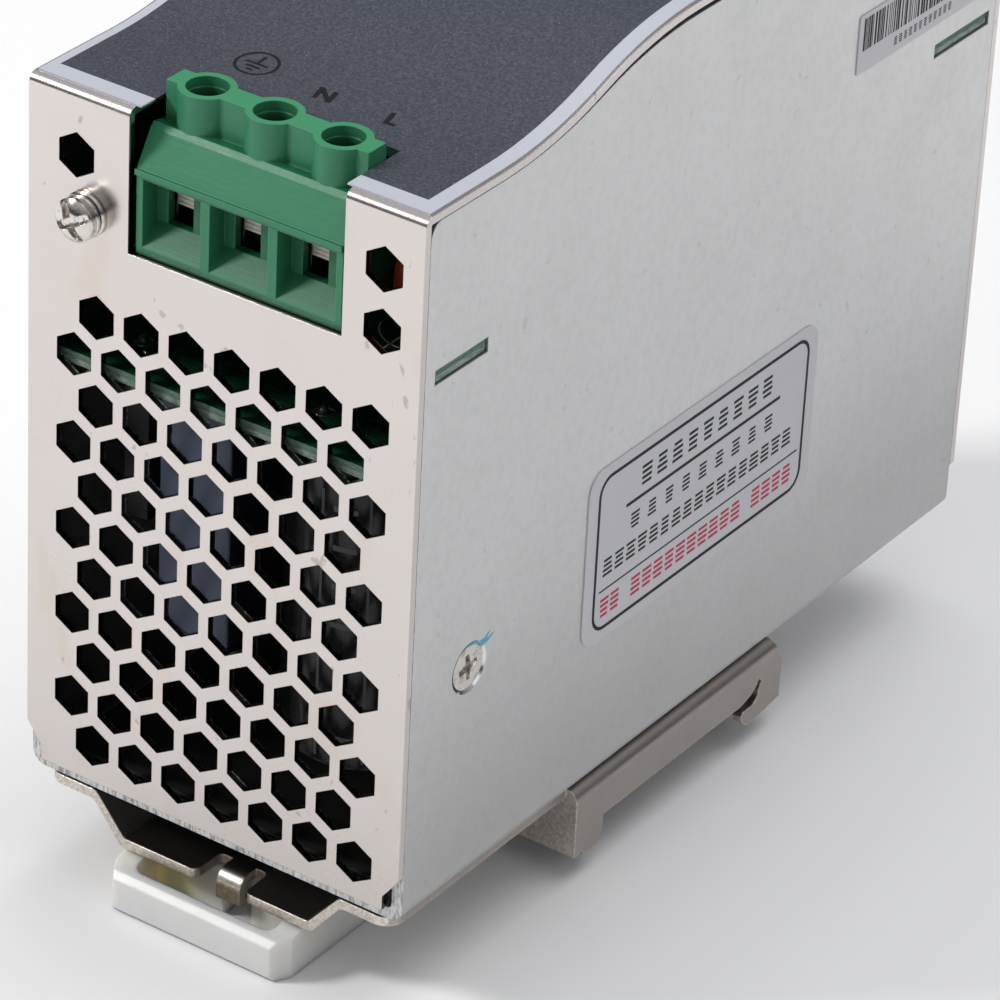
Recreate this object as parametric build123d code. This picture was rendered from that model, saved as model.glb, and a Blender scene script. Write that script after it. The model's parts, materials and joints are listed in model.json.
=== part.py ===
"""DIN rail power supply in a sheet-metal case, as separate parts, in millimetres.

The supply lies on its back. +X is to the right as one faces the front label with the input
terminals towards the viewer, +Y runs up the case from the input end to the output end, and +Z
points out of the front. The origin is the middle of the rail seat: x on the case's centre plane,
y at the middle of a 35 mm rail, z on the plane where the bracket sits on the rail.
"""

import math
import os

from build123d import *

# ---- driving dimensions --------------------------------------------------------------------
WIDTH = 55.5
LENGTH = 125.2
DEPTH_MIDDLE = 100.0
DEPTH_ENDS = 93.3
SEAT_GAP = 7.4
CASE_MID_Y = 1.2
COVER_T = 1.0
CHASSIS_T = 1.6
BRACKET_T = 1.3
BOARD_T = 1.6
RAIL_WIDTH = 35.0
RAIL_LIP_T = 1.0
POLE_PITCH = 9.5
LATCH_TRAVEL = 5.0
CLAMP_TRAVEL = 3.0

HALF_W = WIDTH / 2
NEAR = CASE_MID_Y - LENGTH / 2
FAR = CASE_MID_Y + LENGTH / 2
BACK = SEAT_GAP
CASE_UNDER = BACK - 0.5
BACK_INSIDE = CASE_UNDER + CHASSIS_T
INNER_W = HALF_W - CHASSIS_T
GAP = 0.05

# The front is low beside the terminals and rises to the middle in two tangent arcs.
WAVE_START = 14.6
WAVE_LENGTH = 39.0
WAVE_RISE = DEPTH_MIDDLE - DEPTH_ENDS
COVER_BEND = 1.2
COVER_BOTTOM = BACK_INSIDE + 0.1

# Boards, both parallel to the front.
TERMINAL_BOARD_TOP = BACK + 73.0
POWER_BOARD_TOP = BACK + 58.4
POWER_BOARD_UNDER = POWER_BOARD_TOP - BOARD_T
BOARD_TAB_NEAR = (3.1, 13.0)
BOARD_TAB_FAR = (2.7, 15.5)

# Input terminals sit a little right of the middle, output terminals on the centre plane.
INPUT_POLES = 3
OUTPUT_POLES = 4
INPUT_X = 1.8
OUTPUT_X = 0.0
TERMINAL_SET_IN = 7.0
TERMINAL_SIDE_GAP = 0.6
TERMINAL_CUT_DEPTH = 11.2
TERMINAL_CUT_FLOOR = BACK + 75.0

# Adjuster and lamp holes in the front, beside the output terminals.
ADJUST_X = 15.0
LAMP_X = -15.0
PANEL_PARTS_Y = FAR - 17.3
LAMP_LEG_PITCH = 2.54

# Hexagonal vents: pointed end up, slightly taller than regular.
VENT_HALF_W = 2.54
VENT_HALF_H = 2.9
VENT_SHOULDER = 1.41
VENT_PITCH_X = 6.51
VENT_PITCH_Z = 5.88
VENT_ROWS = 11
VENT_COLUMNS = 7
VENT_FIRST_X = -17.72
VENT_TOP_Z = BACK + 65.05
SINGLE_VENTS = ((-20.8, BACK + 85.1), (22.4, BACK + 85.4), (22.4, BACK + 77.6))

# Earth screw on the input end plate and the screws that hold the heat bars.
EARTH_X = -19.2
EARTH_Z = BACK + 78.2
EARTH_HOLE_R = 2.1
EARTH_SHANK_R = 2.0
EARTH_STANDS_OUT = 3.4
SIDE_SCREW_Y = NEAR + 12.6
SIDE_SCREW_Z = BACK + 29.5
SIDE_SCREW_FAR_Y = FAR - 27.0
COUNTERSINK_R = 3.4
SIDE_SCREW_R = 1.6

# Rail bracket.
FLANGE_GAP = 0.7
FLANGE_TOP = CASE_UNDER - FLANGE_GAP
FLANGE_UNDER = FLANGE_TOP - BRACKET_T
FLANGE_HALF_W = 26.0
CHANNEL_TOP = BACK - 6.4
CHANNEL_UNDER = CHANNEL_TOP - BRACKET_T
CHANNEL_HALF_W = 13.9
SLOPE_HALF_W = 19.2
BRACKET_NEAR = NEAR + 1.5
CHANNEL_END = -24.6
BRACKET_FAR = 25.0
STRIP_BEND = 2.0
STRIP_NEAR = -22.3
STRIP_FAR = 23.0
RAIL_NEAR = -RAIL_WIDTH / 2 - 0.1
LEG_BOTTOM = -3.8
LEG_WALL_IN = 18.7
HOOK_TIP_Y = 13.9
SLIT_END_Y = RAIL_WIDTH / 2 + 0.2
NOTCH_X = 0.7
NOTCH_HALF_W = 3.6
NOTCH_DEPTH = 5.0
TAB_HALF_W = 1.75
TAB_BOTTOM = BACK - 10.2
GUIDE_Y = (-38.8, -32.8)
GUIDE_X = 9.2
GUIDE_FOOT_TOP = BACK - 10.9
GUIDE_FOOT_X = 11.7
ANCHOR_Y = -48.4
ANCHOR_HALF_W = 2.0
ANCHOR_BOTTOM = BACK - 12.0
RIVET_R = 1.75
RIVET_PLACES = ((-22.6, -50.0), (22.6, -50.0), (-19.0, 8.0), (19.0, 8.0))

# Latch slider.
LATCH_TOP = CHANNEL_UNDER - 0.15
LATCH_BOTTOM = BACK - 14.3
LATCH_NOSE_TOP = -RAIL_LIP_T - 0.2
LATCH_NOSE_REACH = 2.4
LATCH_FRONT = NEAR - 2.4
LATCH_BAR_T = 2.0
LATCH_X = -0.6
LATCH_HALF_W = 13.4
LATCH_FRONT_HALF_W = 11.9
LATCH_CORNER = 2.4
LOOP_HALF_W = 10.6
LOOP_BACK = NEAR + 5.2
LATCH_CLEAR = 0.3
SPRING_HALF_CHANNEL = 2.7
SPRING_END = -31.8
SPRING_R = 1.9
SPRING_WIRE_R = 0.25
SPRING_TURNS = 9

# Clamp terminals: heights above the board, y from the screw axis, wires come from -y.
BLOCK_FRONT = -6.3
BLOCK_BACK = 4.6
BLOCK_LIP = 0.4
LIP_H = 0.85
RIDGE_Z = 12.9
SHOULDER_Z = 17.7
SHOULDER_Y = -3.3
RIM_Z = 22.4
WEB_Y = (-1.6, 1.7)
WEB_SET_IN = 0.4
TUBE_R = 3.42
DRIVER_HOLE_R = 2.4
DRIVER_RIM_R = 2.52
DRIVER_RIM_H = 1.3
MOUTH_HALF_W = 4.1
MOUTH_Z = (3.05, 12.0)
MOUTH_BACK_Y = -3.5
WINDOW_X = (-2.55, 1.05)
WINDOW_Z = (5.5, 10.9)
CHAMBER_HALF_W = 3.45
CHAMBER_Y = (-2.4, 3.6)
SHELF_T = 0.8
CAGE_HALF_W = 3.2
CAGE_HALF_D = 2.0
CAGE_Z = (2.6, 11.5)
CHAMBER_Z = (2.0, CAGE_Z[1] + CLAMP_TRAVEL + 0.15)
CAGE_WALL = 0.8
CAGE_TOP_T = 1.4
BAR_Z = (7.7, 9.4)
CLAMP_SCREW_R = 1.75
CLAMP_HEAD_R = 2.25
CLAMP_HEAD_H = 2.4
PIN_BELOW = 3.2


# ---- helpers -------------------------------------------------------------------------------
def block(x0, x1, y0, y1, z0, z1):
    """A box between two corners."""
    middle = Pos((x0 + x1) / 2, (y0 + y1) / 2, (z0 + z1) / 2)
    return middle * Box(abs(x1 - x0), abs(y1 - y0), abs(z1 - z0))


def rod(x, y, z, radius, length, axis="Z"):
    """A cylinder that starts at a point and runs along an axis. A negative length runs back."""
    turns = {"X": Rot(0, 90, 0), "Y": Rot(-90, 0, 0), "Z": Rot(0, 0, 0)}
    start = Align.MIN if length > 0 else Align.MAX
    body = Cylinder(radius, abs(length), align=(Align.CENTER, Align.CENTER, start))
    return Pos(x, y, z) * turns[axis] * body


def cone(x, y, z, radius, end_radius, length, axis="Z"):
    """A cone that starts at a point with one radius and ends with another."""
    turns = {"X": Rot(0, 90, 0), "-X": Rot(0, -90, 0), "Z": Rot(0, 0, 0)}
    body = Cone(radius, end_radius, length, align=(Align.CENTER, Align.CENTER, Align.MIN))
    return Pos(x, y, z) * turns[axis] * body


def outline(points):
    """A closed face through a list of points."""
    return make_face(Polyline(*points, close=True))


def pull_x(face, x0, x1):
    """A face drawn as (y, z), pulled from x0 to x1."""
    return extrude(Plane.YZ.offset(x0) * face, x1 - x0)


def pull_y(face, y0, y1):
    """A face drawn as (x, z), pulled from y0 to y1."""
    return extrude(Plane.XZ.offset(-y1) * face, y1 - y0)


def pull_z(face, z0, z1):
    """A face drawn as (x, y), pulled from z0 to z1."""
    return extrude(Plane.XY.offset(z0) * face, z1 - z0)


def hexagon(x, z):
    """One vent outline, drawn as (x, z)."""
    return outline(
        [
            (x - VENT_HALF_W, z - VENT_SHOULDER),
            (x, z - VENT_HALF_H),
            (x + VENT_HALF_W, z - VENT_SHOULDER),
            (x + VENT_HALF_W, z + VENT_SHOULDER),
            (x, z + VENT_HALF_H),
            (x - VENT_HALF_W, z + VENT_SHOULDER),
        ]
    )


def edges_along(shape, axis, *limits):
    """The edges of a shape parallel to an axis whose middles pass every test in limits."""
    return [e for e in shape.edges().filter_by(axis) if all(test(e.center()) for test in limits)]


def cross_slot(x, y, z, half_length, half_width, depth, axis="Z"):
    """The cutter of a cross recess, which goes depth into the head against the axis."""
    turns = {"Z": Rot(0, 0, 0), "X": Rot(0, 90, 0), "-Y": Rot(90, 0, 0)}
    down = (Align.CENTER, Align.CENTER, Align.MAX)
    bars = Box(2 * half_length, 2 * half_width, depth, align=down)
    bars += Box(2 * half_width, 2 * half_length, depth, align=down)
    return Pos(x, y, z) * turns[axis] * bars


# ---- case ----------------------------------------------------------------------------------
def front_curve(inset, rise):
    """Front outline from the input end to the output end, as edges drawn as (y, z)."""
    radius = (WAVE_LENGTH**2 + rise**2) / (4 * rise)
    turn = math.asin(WAVE_LENGTH / (2 * radius))
    low = BACK + DEPTH_ENDS
    high = low + rise

    def hollow_arc(side, angle):
        y = CASE_MID_Y + side * (LENGTH / 2 - WAVE_START - (radius + inset) * math.sin(angle))
        return (y, low + radius - (radius + inset) * math.cos(angle))

    def crest_arc(side, angle):
        reach = LENGTH / 2 - WAVE_START - WAVE_LENGTH + (radius - inset) * math.sin(angle)
        return (CASE_MID_Y + side * reach, high - radius + (radius - inset) * math.cos(angle))

    near = [hollow_arc(-1, 0), hollow_arc(-1, turn / 2), hollow_arc(-1, turn)]
    near_top = [crest_arc(-1, turn), crest_arc(-1, turn / 2), crest_arc(-1, 0)]
    far_top = [crest_arc(1, 0), crest_arc(1, turn / 2), crest_arc(1, turn)]
    far = [hollow_arc(1, turn), hollow_arc(1, turn / 2), hollow_arc(1, 0)]
    return [
        ThreePointArc(*near),
        ThreePointArc(*near_top),
        Line(near_top[2], far_top[0]),
        ThreePointArc(*far_top),
        ThreePointArc(*far),
    ]


def case_profile(inset, rise, bottom, corner):
    """The case's side outline, inset from the outside of the cover, with rounded front corners."""
    curve = front_curve(inset, rise)
    y0 = NEAR + inset
    y1 = FAR - inset
    low = BACK + DEPTH_ENDS - inset
    bend = corner * (1 - math.sqrt(0.5))
    near_arc = ThreePointArc((y0, low - corner), (y0 + bend, low - bend), (y0 + corner, low))
    far_arc = ThreePointArc((y1 - corner, low), (y1 - bend, low - bend), (y1, low - corner))
    edges = [
        Line((y0, bottom), (y0, low - corner)),
        near_arc,
        Line((y0 + corner, low), curve[0] @ 0),
        *curve,
        Line(curve[-1] @ 1, (y1 - corner, low)),
        far_arc,
        Line((y1, low - corner), (y1, bottom)),
        Line((y1, bottom), (y0, bottom)),
    ]
    return make_face(edges)


def vents():
    """Cutter for the hexagonal vents of one end plate."""
    cutter = []
    for row in range(VENT_ROWS):
        shift = -VENT_PITCH_X / 2 if row % 2 else 0.0
        for column in range(VENT_COLUMNS):
            x = VENT_FIRST_X + shift + column * VENT_PITCH_X
            cutter.append(hexagon(x, VENT_TOP_Z - row * VENT_PITCH_Z))
    return cutter


def make_cover():
    """Front sheet with its raised wave, and the two vented end plates."""
    body = pull_x(case_profile(0, WAVE_RISE, COVER_BOTTOM, COVER_BEND), -HALF_W, HALF_W)
    inner = case_profile(COVER_T, WAVE_RISE, COVER_BOTTOM - 1, COVER_BEND - COVER_T)
    body -= pull_x(inner, -HALF_W - 1, HALF_W + 1)
    near_vents = vents() + [hexagon(x, z) for x, z in SINGLE_VENTS]
    body -= [pull_y(face, NEAR - 1, NEAR + COVER_T + 1) for face in near_vents]
    body -= [pull_y(face, FAR - COVER_T - 1, FAR + 1) for face in vents()]
    top = BACK + DEPTH_MIDDLE
    half = terminal_half_width(INPUT_POLES) + TERMINAL_SIDE_GAP
    body -= block(
        INPUT_X - half, INPUT_X + half, NEAR - 1, NEAR + TERMINAL_CUT_DEPTH, TERMINAL_CUT_FLOOR, top
    )
    half = terminal_half_width(OUTPUT_POLES) + TERMINAL_SIDE_GAP
    body -= block(
        OUTPUT_X - half, OUTPUT_X + half, FAR - TERMINAL_CUT_DEPTH, FAR + 1, TERMINAL_CUT_FLOOR, top
    )
    body -= rod(EARTH_X, NEAR - 1, EARTH_Z, EARTH_HOLE_R, COVER_T + 2, "Y")
    body -= rod(ADJUST_X, PANEL_PARTS_Y, top - 20, 3.0, 30)
    body -= rod(LAMP_X, PANEL_PARTS_Y, top - 20, 1.7, 30)
    for side in (-1, 1):
        edge = side * HALF_W
        step = edge - side * 2.2
        low = COVER_BOTTOM - 1
        cut = outline([(edge, low), (step, low), (step, low + 2.9), (edge, low + 5.9)])
        body -= pull_y(cut, NEAR - 1, FAR + 1)
    return body


def make_chassis():
    """Aluminium back and side walls, with slots for the terminal board's tabs."""
    top_inset = COVER_T + 0.1
    profile = case_profile(top_inset, WAVE_RISE - 0.5, CASE_UNDER, 2.0)
    body = pull_x(profile, -HALF_W, HALF_W)
    body = fillet(edges_along(body, Axis.Y, lambda c: c.Z < CASE_UNDER + 0.1), 2.0)
    hollow = block(-INNER_W, INNER_W, NEAR, FAR, BACK_INSIDE, BACK + DEPTH_MIDDLE + 1)
    hollow = fillet(edges_along(hollow, Axis.Y, lambda c: c.Z < BACK_INSIDE + 0.1), 0.5)
    body -= hollow
    slot_z = (TERMINAL_BOARD_TOP - BOARD_T - 0.15, TERMINAL_BOARD_TOP + 0.2)
    for start, stop in board_tab_spans():
        body -= block(-HALF_W - 1, HALF_W + 1, start - 0.2, stop + 0.2, *slot_z)
    for x, y, side in ((HALF_W, SIDE_SCREW_Y, "-X"), (-HALF_W, SIDE_SCREW_FAR_Y, "X")):
        sink = COUNTERSINK_R - SIDE_SCREW_R
        body -= cone(x, y, SIDE_SCREW_Z, COUNTERSINK_R, SIDE_SCREW_R, sink, side)
        body -= rod(x, y, SIDE_SCREW_Z, SIDE_SCREW_R, math.copysign(CHASSIS_T + 1, -x), "X")
    for x, y in RIVET_PLACES:
        body -= rod(x, y, CASE_UNDER - 1, RIVET_R, CHASSIS_T + 2)
    return body


def board_tab_spans():
    """Where the terminal board's tabs lie along the side walls."""
    near = (NEAR + BOARD_TAB_NEAR[0], NEAR + BOARD_TAB_NEAR[1])
    far = (FAR - BOARD_TAB_FAR[1], FAR - BOARD_TAB_FAR[0])
    return near, far


def make_front_label():
    """Printed film that follows the raised front and leaves the terminals, adjuster and lamp free."""
    film = 0.2
    outer = case_profile(-film, WAVE_RISE, BACK + DEPTH_ENDS - 6, COVER_BEND)
    outside = case_profile(0, WAVE_RISE, BACK + DEPTH_ENDS - 7, COVER_BEND)
    half_w = HALF_W - 0.4
    body = pull_x(outer, -half_w, half_w) - pull_x(outside, -HALF_W, HALF_W)
    top = BACK + DEPTH_MIDDLE + 1
    low = BACK + DEPTH_ENDS - 8
    body = body & block(-half_w, half_w, NEAR + COVER_BEND, FAR - COVER_BEND, low, top)
    for x, poles, y0, y1 in (
        (INPUT_X, INPUT_POLES, NEAR - 1, NEAR + TERMINAL_CUT_DEPTH - 0.1),
        (OUTPUT_X, OUTPUT_POLES, FAR - TERMINAL_CUT_DEPTH + 0.1, FAR + 1),
    ):
        half = terminal_half_width(poles) - WEB_SET_IN + 0.25
        body -= block(x - half, x + half, y0, y1, low, top)
    body -= rod(ADJUST_X, PANEL_PARTS_Y, low, 3.2, 20)
    body -= rod(LAMP_X, PANEL_PARTS_Y, low, 1.9, 20)
    return body


def side_film(y0, y1, z0, z1, corner):
    """A printed film with rounded corners on the right side wall."""
    film = 0.15
    face = Pos((y0 + y1) / 2, (z0 + z1) / 2) * RectangleRounded(y1 - y0, z1 - z0, corner)
    return pull_x(face, HALF_W, HALF_W + film)


def make_earth_screw():
    """Pan-head screw with a wide cross recess, held in the input end plate by its nut."""
    front = NEAR - EARTH_STANDS_OUT
    body = rod(EARTH_X, front, EARTH_Z, EARTH_SHANK_R, 10.0, "Y")
    head = rod(EARTH_X, front, EARTH_Z, 2.8, 1.75, "Y")
    head = fillet(head.edges().filter_by(GeomType.CIRCLE).sort_by(Axis.Y)[0], 0.9)
    return body + head - cross_slot(EARTH_X, front, EARTH_Z, 2.4, 0.45, 1.2, "-Y")


def make_earth_nut_washers():
    """Nut behind the input end plate, and the plain and the split washer under the head."""
    y0 = NEAR + COVER_T + GAP
    hole = rod(EARTH_X, NEAR - 3, EARTH_Z, EARTH_SHANK_R + GAP, 9, "Y")
    nut = pull_y(Pos(EARTH_X, EARTH_Z) * RegularPolygon(4.0, 6), y0, y0 + 2.4) - hole
    plain = rod(EARTH_X, NEAR - 0.72, EARTH_Z, 2.85, 0.67, "Y") - hole
    split = rod(EARTH_X, NEAR - 1.6, EARTH_Z, 2.7, 0.83, "Y") - hole
    gap_x = EARTH_X - 0.3
    split -= block(gap_x, gap_x + 0.6, NEAR - 2, NEAR, EARTH_Z - 4, EARTH_Z)
    return [nut, plain, split]


def make_side_screws():
    """Countersunk screws through the side walls into the heat bars."""
    screws = []
    for x, y in ((HALF_W, SIDE_SCREW_Y), (-HALF_W, SIDE_SCREW_FAR_Y)):
        inwards = math.copysign(1, -x)
        top = x + inwards * 0.15
        radius = COUNTERSINK_R - 0.45
        shank = SIDE_SCREW_R - 0.15
        side = "-X" if x > 0 else "X"
        screw = cone(top, y, SIDE_SCREW_Z, radius, shank, radius - shank, side)
        screw += rod(top, y, SIDE_SCREW_Z, shank, inwards * 5.2, "X")
        cut = cross_slot(0, 0, 0, 1.6, 0.35, 1.0, "X")
        screw -= Pos(top, y, SIDE_SCREW_Z) * (cut if x > 0 else Rot(0, 180, 0) * cut)
        screws.append(screw)
    return screws


# ---- rail bracket and latch ----------------------------------------------------------------
def make_rail_bracket():
    """One bent sheet: channel over the latch, flanges, rail seats with legs and hooks, lugs."""
    body = block(
        -FLANGE_HALF_W, FLANGE_HALF_W, BRACKET_NEAR, BRACKET_FAR, FLANGE_UNDER, FLANGE_TOP
    )
    body = fillet(edges_along(body, Axis.Z), 2.5)
    body -= block(-SLOPE_HALF_W, SLOPE_HALF_W, BRACKET_NEAR - 1, CHANNEL_END, 0, BACK)
    body += make_channel()
    for side in (-1, 1):
        body += make_rail_side(side)
        body += make_guide_lug(side)
    body += make_curled_tab()
    body += block(
        -ANCHOR_HALF_W, ANCHOR_HALF_W, ANCHOR_Y, ANCHOR_Y + BRACKET_T, ANCHOR_BOTTOM, CHANNEL_TOP
    )
    for x, y in RIVET_PLACES:
        body -= rod(x, y, FLANGE_UNDER - 1, RIVET_R, BRACKET_T + 2)
    return body


def make_channel():
    """The lowered middle of the bracket, with sloping sides and a notch at the near end."""
    half_t = BRACKET_T / 2 * 1.35
    upper = [
        (-SLOPE_HALF_W - half_t, FLANGE_TOP),
        (-SLOPE_HALF_W + half_t, FLANGE_TOP),
        (-CHANNEL_HALF_W, CHANNEL_TOP),
        (CHANNEL_HALF_W, CHANNEL_TOP),
        (SLOPE_HALF_W - half_t, FLANGE_TOP),
        (SLOPE_HALF_W + half_t, FLANGE_TOP),
    ]
    lower = [
        (SLOPE_HALF_W + half_t, FLANGE_UNDER),
        (SLOPE_HALF_W - 0.6, FLANGE_UNDER),
        (CHANNEL_HALF_W + 0.5, CHANNEL_UNDER),
        (-CHANNEL_HALF_W - 0.5, CHANNEL_UNDER),
        (-SLOPE_HALF_W + 0.6, FLANGE_UNDER),
        (-SLOPE_HALF_W - half_t, FLANGE_UNDER),
    ]
    body = pull_y(outline(upper + lower), BRACKET_NEAR, CHANNEL_END)
    body = fillet(edges_along(body, Axis.Y, lambda c: abs(c.X) < SLOPE_HALF_W), 1.0)
    notch_x = (NOTCH_X - NOTCH_HALF_W, NOTCH_X + NOTCH_HALF_W)
    notch = block(*notch_x, BRACKET_NEAR - 1, BRACKET_NEAR + NOTCH_DEPTH, -2, BACK)
    notch = fillet(edges_along(notch, Axis.Z), 0.8)
    body -= notch
    corners = edges_along(
        body,
        Axis.Z,
        lambda c: c.Y < BRACKET_NEAR + 0.1,
        lambda c: abs(c.X - NOTCH_X) < NOTCH_HALF_W + 0.1,
    )
    return fillet(corners, 1.2)


def make_curled_tab():
    """The stop tab: forward from the back of the notch, then curled down in front of it."""
    back = BRACKET_NEAR + NOTCH_DEPTH
    bend = 1.9
    reach = back - 1.4
    front = reach - bend
    drop = CHANNEL_TOP - bend
    corner = bend * (1 - math.sqrt(0.5))
    inner = bend - BRACKET_T
    inner_corner = inner * (1 - math.sqrt(0.5))
    face = make_face(
        [
            Line((back + 0.5, CHANNEL_TOP), (reach, CHANNEL_TOP)),
            ThreePointArc(
                (reach, CHANNEL_TOP), (front + corner, CHANNEL_TOP - corner), (front, drop)
            ),
            Line((front, drop), (front, TAB_BOTTOM)),
            Line((front, TAB_BOTTOM), (front + BRACKET_T, TAB_BOTTOM)),
            Line((front + BRACKET_T, TAB_BOTTOM), (front + BRACKET_T, drop)),
            ThreePointArc(
                (front + BRACKET_T, drop),
                (front + BRACKET_T + inner_corner, CHANNEL_UNDER - inner_corner),
                (reach, CHANNEL_UNDER),
            ),
            Line((reach, CHANNEL_UNDER), (back + 0.5, CHANNEL_UNDER)),
            Line((back + 0.5, CHANNEL_UNDER), (back + 0.5, CHANNEL_TOP)),
        ]
    )
    return pull_x(face, NOTCH_X - TAB_HALF_W, NOTCH_X + TAB_HALF_W)


def make_rail_side(side):
    """Seat strip, near leg with its turned-in wall, and the far hook, on one side."""
    outer = HALF_W
    inner = HALF_W - BRACKET_T
    hook = [
        (STRIP_NEAR, FLANGE_TOP),
        (STRIP_NEAR, LEG_BOTTOM + 0.8),
        (STRIP_NEAR + 0.8, LEG_BOTTOM),
        (RAIL_NEAR - 1.2, LEG_BOTTOM),
        (RAIL_NEAR, LEG_BOTTOM + 1.2),
        (RAIL_NEAR, 0),
        (HOOK_TIP_Y - 0.3, 0),
        (SLIT_END_Y - 1.8, 0.6),
        (SLIT_END_Y - 0.6, 1.4),
        (SLIT_END_Y, 2.3),
        (SLIT_END_Y + 0.6, 1.6),
        (SLIT_END_Y, 0.6),
        (SLIT_END_Y, -0.3),
        (SLIT_END_Y - 0.9, -RAIL_LIP_T - 0.1),
        (HOOK_TIP_Y + 0.5, -RAIL_LIP_T - 0.15),
        (HOOK_TIP_Y, -1.7),
        (HOOK_TIP_Y + 0.4, -2.8),
        (HOOK_TIP_Y + 1.6, LEG_BOTTOM),
        (STRIP_FAR, LEG_BOTTOM + 0.9),
        (STRIP_FAR, FLANGE_TOP),
    ]
    strip = pull_x(outline(hook), *sorted((side * inner, side * outer)))
    bridge = block(
        side * (FLANGE_HALF_W - 4), side * outer, STRIP_NEAR, STRIP_FAR, FLANGE_UNDER, FLANGE_TOP
    )
    wall_y = (STRIP_NEAR - BRACKET_T, STRIP_NEAR)
    wall = block(side * LEG_WALL_IN, side * outer, *wall_y, LEG_BOTTOM + 0.4, FLANGE_TOP)
    body = strip + bridge + wall
    top_edge = edges_along(
        body, Axis.Y, lambda c: abs(c.X) > outer - 0.1, lambda c: c.Z > FLANGE_TOP - 0.1
    )
    body = fillet(top_edge, STRIP_BEND)
    slope = [(STRIP_FAR, 2.6), (STRIP_FAR - 2.0, 7.1), (STRIP_FAR + 1, 7.1), (STRIP_FAR + 1, 2.6)]
    return body - pull_x(outline(slope), *sorted((side * FLANGE_HALF_W, side * (outer + 1))))


def make_guide_lug(side):
    """L-shaped lug that passes through the latch and carries it."""
    leg_x = sorted((side * GUIDE_X, side * (GUIDE_X + BRACKET_T)))
    foot_x = sorted((side * GUIDE_X, side * GUIDE_FOOT_X))
    leg = block(*leg_x, *GUIDE_Y, GUIDE_FOOT_TOP - BRACKET_T, CHANNEL_TOP)
    return leg + block(*foot_x, *GUIDE_Y, GUIDE_FOOT_TOP - BRACKET_T, GUIDE_FOOT_TOP)


def make_bracket_spacers():
    """Washers between the case and the bracket, one at each rivet."""
    spacers = []
    for x, y in RIVET_PLACES:
        ring = rod(x, y, FLANGE_TOP, 3.4, FLANGE_GAP) - rod(x, y, FLANGE_TOP - 1, RIVET_R + GAP, 4)
        spacers.append(ring)
    return spacers


def make_bracket_rivets():
    """Blind rivets through bracket, spacer and case."""
    rivets = []
    for x, y in RIVET_PLACES:
        shank = rod(x, y, FLANGE_UNDER - 0.1, RIVET_R - GAP, FLANGE_GAP + BRACKET_T + CHASSIS_T + 0.3)
        head = rod(x, y, FLANGE_UNDER - 1.1, 3.0, 1.1 - GAP)
        head = fillet(head.edges().filter_by(GeomType.CIRCLE).sort_by(Axis.Z)[0], 0.7)
        tail = rod(x, y, BACK_INSIDE + GAP, 2.5, 0.9)
        rivets.append(shank + head + tail)
    return rivets


def make_latch_slider():
    """Nylon slider: pull loop in front, guide slots and spring channel, nose under the rail lip."""
    nose = RAIL_NEAR + LATCH_NOSE_REACH
    side_view = [
        (LATCH_FRONT, LATCH_BOTTOM + 0.6),
        (LATCH_FRONT + 0.6, LATCH_BOTTOM),
        (RAIL_NEAR - 3.0, LATCH_BOTTOM),
        (nose, LATCH_NOSE_TOP - 1.6),
        (nose, LATCH_NOSE_TOP),
        (RAIL_NEAR - 0.1, LATCH_NOSE_TOP),
        (RAIL_NEAR - 0.1, LATCH_TOP),
        (LATCH_FRONT + 6.0, LATCH_TOP),
        (LATCH_FRONT + 2.0, LATCH_TOP - 0.9),
        (LATCH_FRONT + 0.8, LATCH_TOP - 0.9),
        (LATCH_FRONT, LATCH_TOP - 1.7),
    ]
    body = pull_x(outline(side_view), LATCH_X - LATCH_HALF_W, LATCH_X + LATCH_HALF_W)
    for side in (-1, 1):
        corner = [
            (LATCH_X + side * LATCH_FRONT_HALF_W, LATCH_FRONT - 1),
            (LATCH_X + side * LATCH_FRONT_HALF_W, LATCH_FRONT),
            (LATCH_X + side * LATCH_HALF_W, LATCH_FRONT + LATCH_CORNER),
            (LATCH_X + side * (LATCH_HALF_W + 1), LATCH_FRONT + LATCH_CORNER),
            (LATCH_X + side * (LATCH_HALF_W + 1), LATCH_FRONT - 1),
        ]
        body -= pull_z(outline(corner), LATCH_BOTTOM - 1, LATCH_TOP + 1)
        body -= guide_slot(side)
    loop_x = (LATCH_X - LOOP_HALF_W, LATCH_X + LOOP_HALF_W)
    loop_y = (LATCH_FRONT + LATCH_BAR_T, LOOP_BACK)
    loop = block(*loop_x, *loop_y, LATCH_BOTTOM - 1, LATCH_TOP + 1)
    body -= fillet(edges_along(loop, Axis.Z), 1.6)
    recess_back = BRACKET_NEAR + NOTCH_DEPTH + LATCH_TRAVEL - 1.0
    half = TAB_HALF_W + 0.45
    body -= block(NOTCH_X - half, NOTCH_X + half, LOOP_BACK - 0.5, recess_back, LATCH_BOTTOM - 1, BACK)
    channel_start = ANCHOR_Y - LATCH_CLEAR
    body -= block(
        -SPRING_HALF_CHANNEL, SPRING_HALF_CHANNEL, channel_start, SPRING_END, BACK - 12.9, BACK
    )
    return body


def guide_slot(side):
    """Cutter for one guide slot of the latch: narrow above, wide below for the lug's foot."""
    y0 = GUIDE_Y[0] - LATCH_CLEAR
    y1 = GUIDE_Y[1] + LATCH_TRAVEL + LATCH_CLEAR
    near_x = side * (GUIDE_X - LATCH_CLEAR)
    leg_x = side * (GUIDE_X + BRACKET_T + LATCH_CLEAR)
    foot_x = side * (GUIDE_FOOT_X + LATCH_CLEAR)
    ledge = GUIDE_FOOT_TOP + LATCH_CLEAR
    cutter = block(near_x, leg_x, y0, y1, ledge - 1, LATCH_TOP + 1)
    return cutter + block(near_x, foot_x, y0, y1, LATCH_BOTTOM - 1, ledge)


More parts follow.
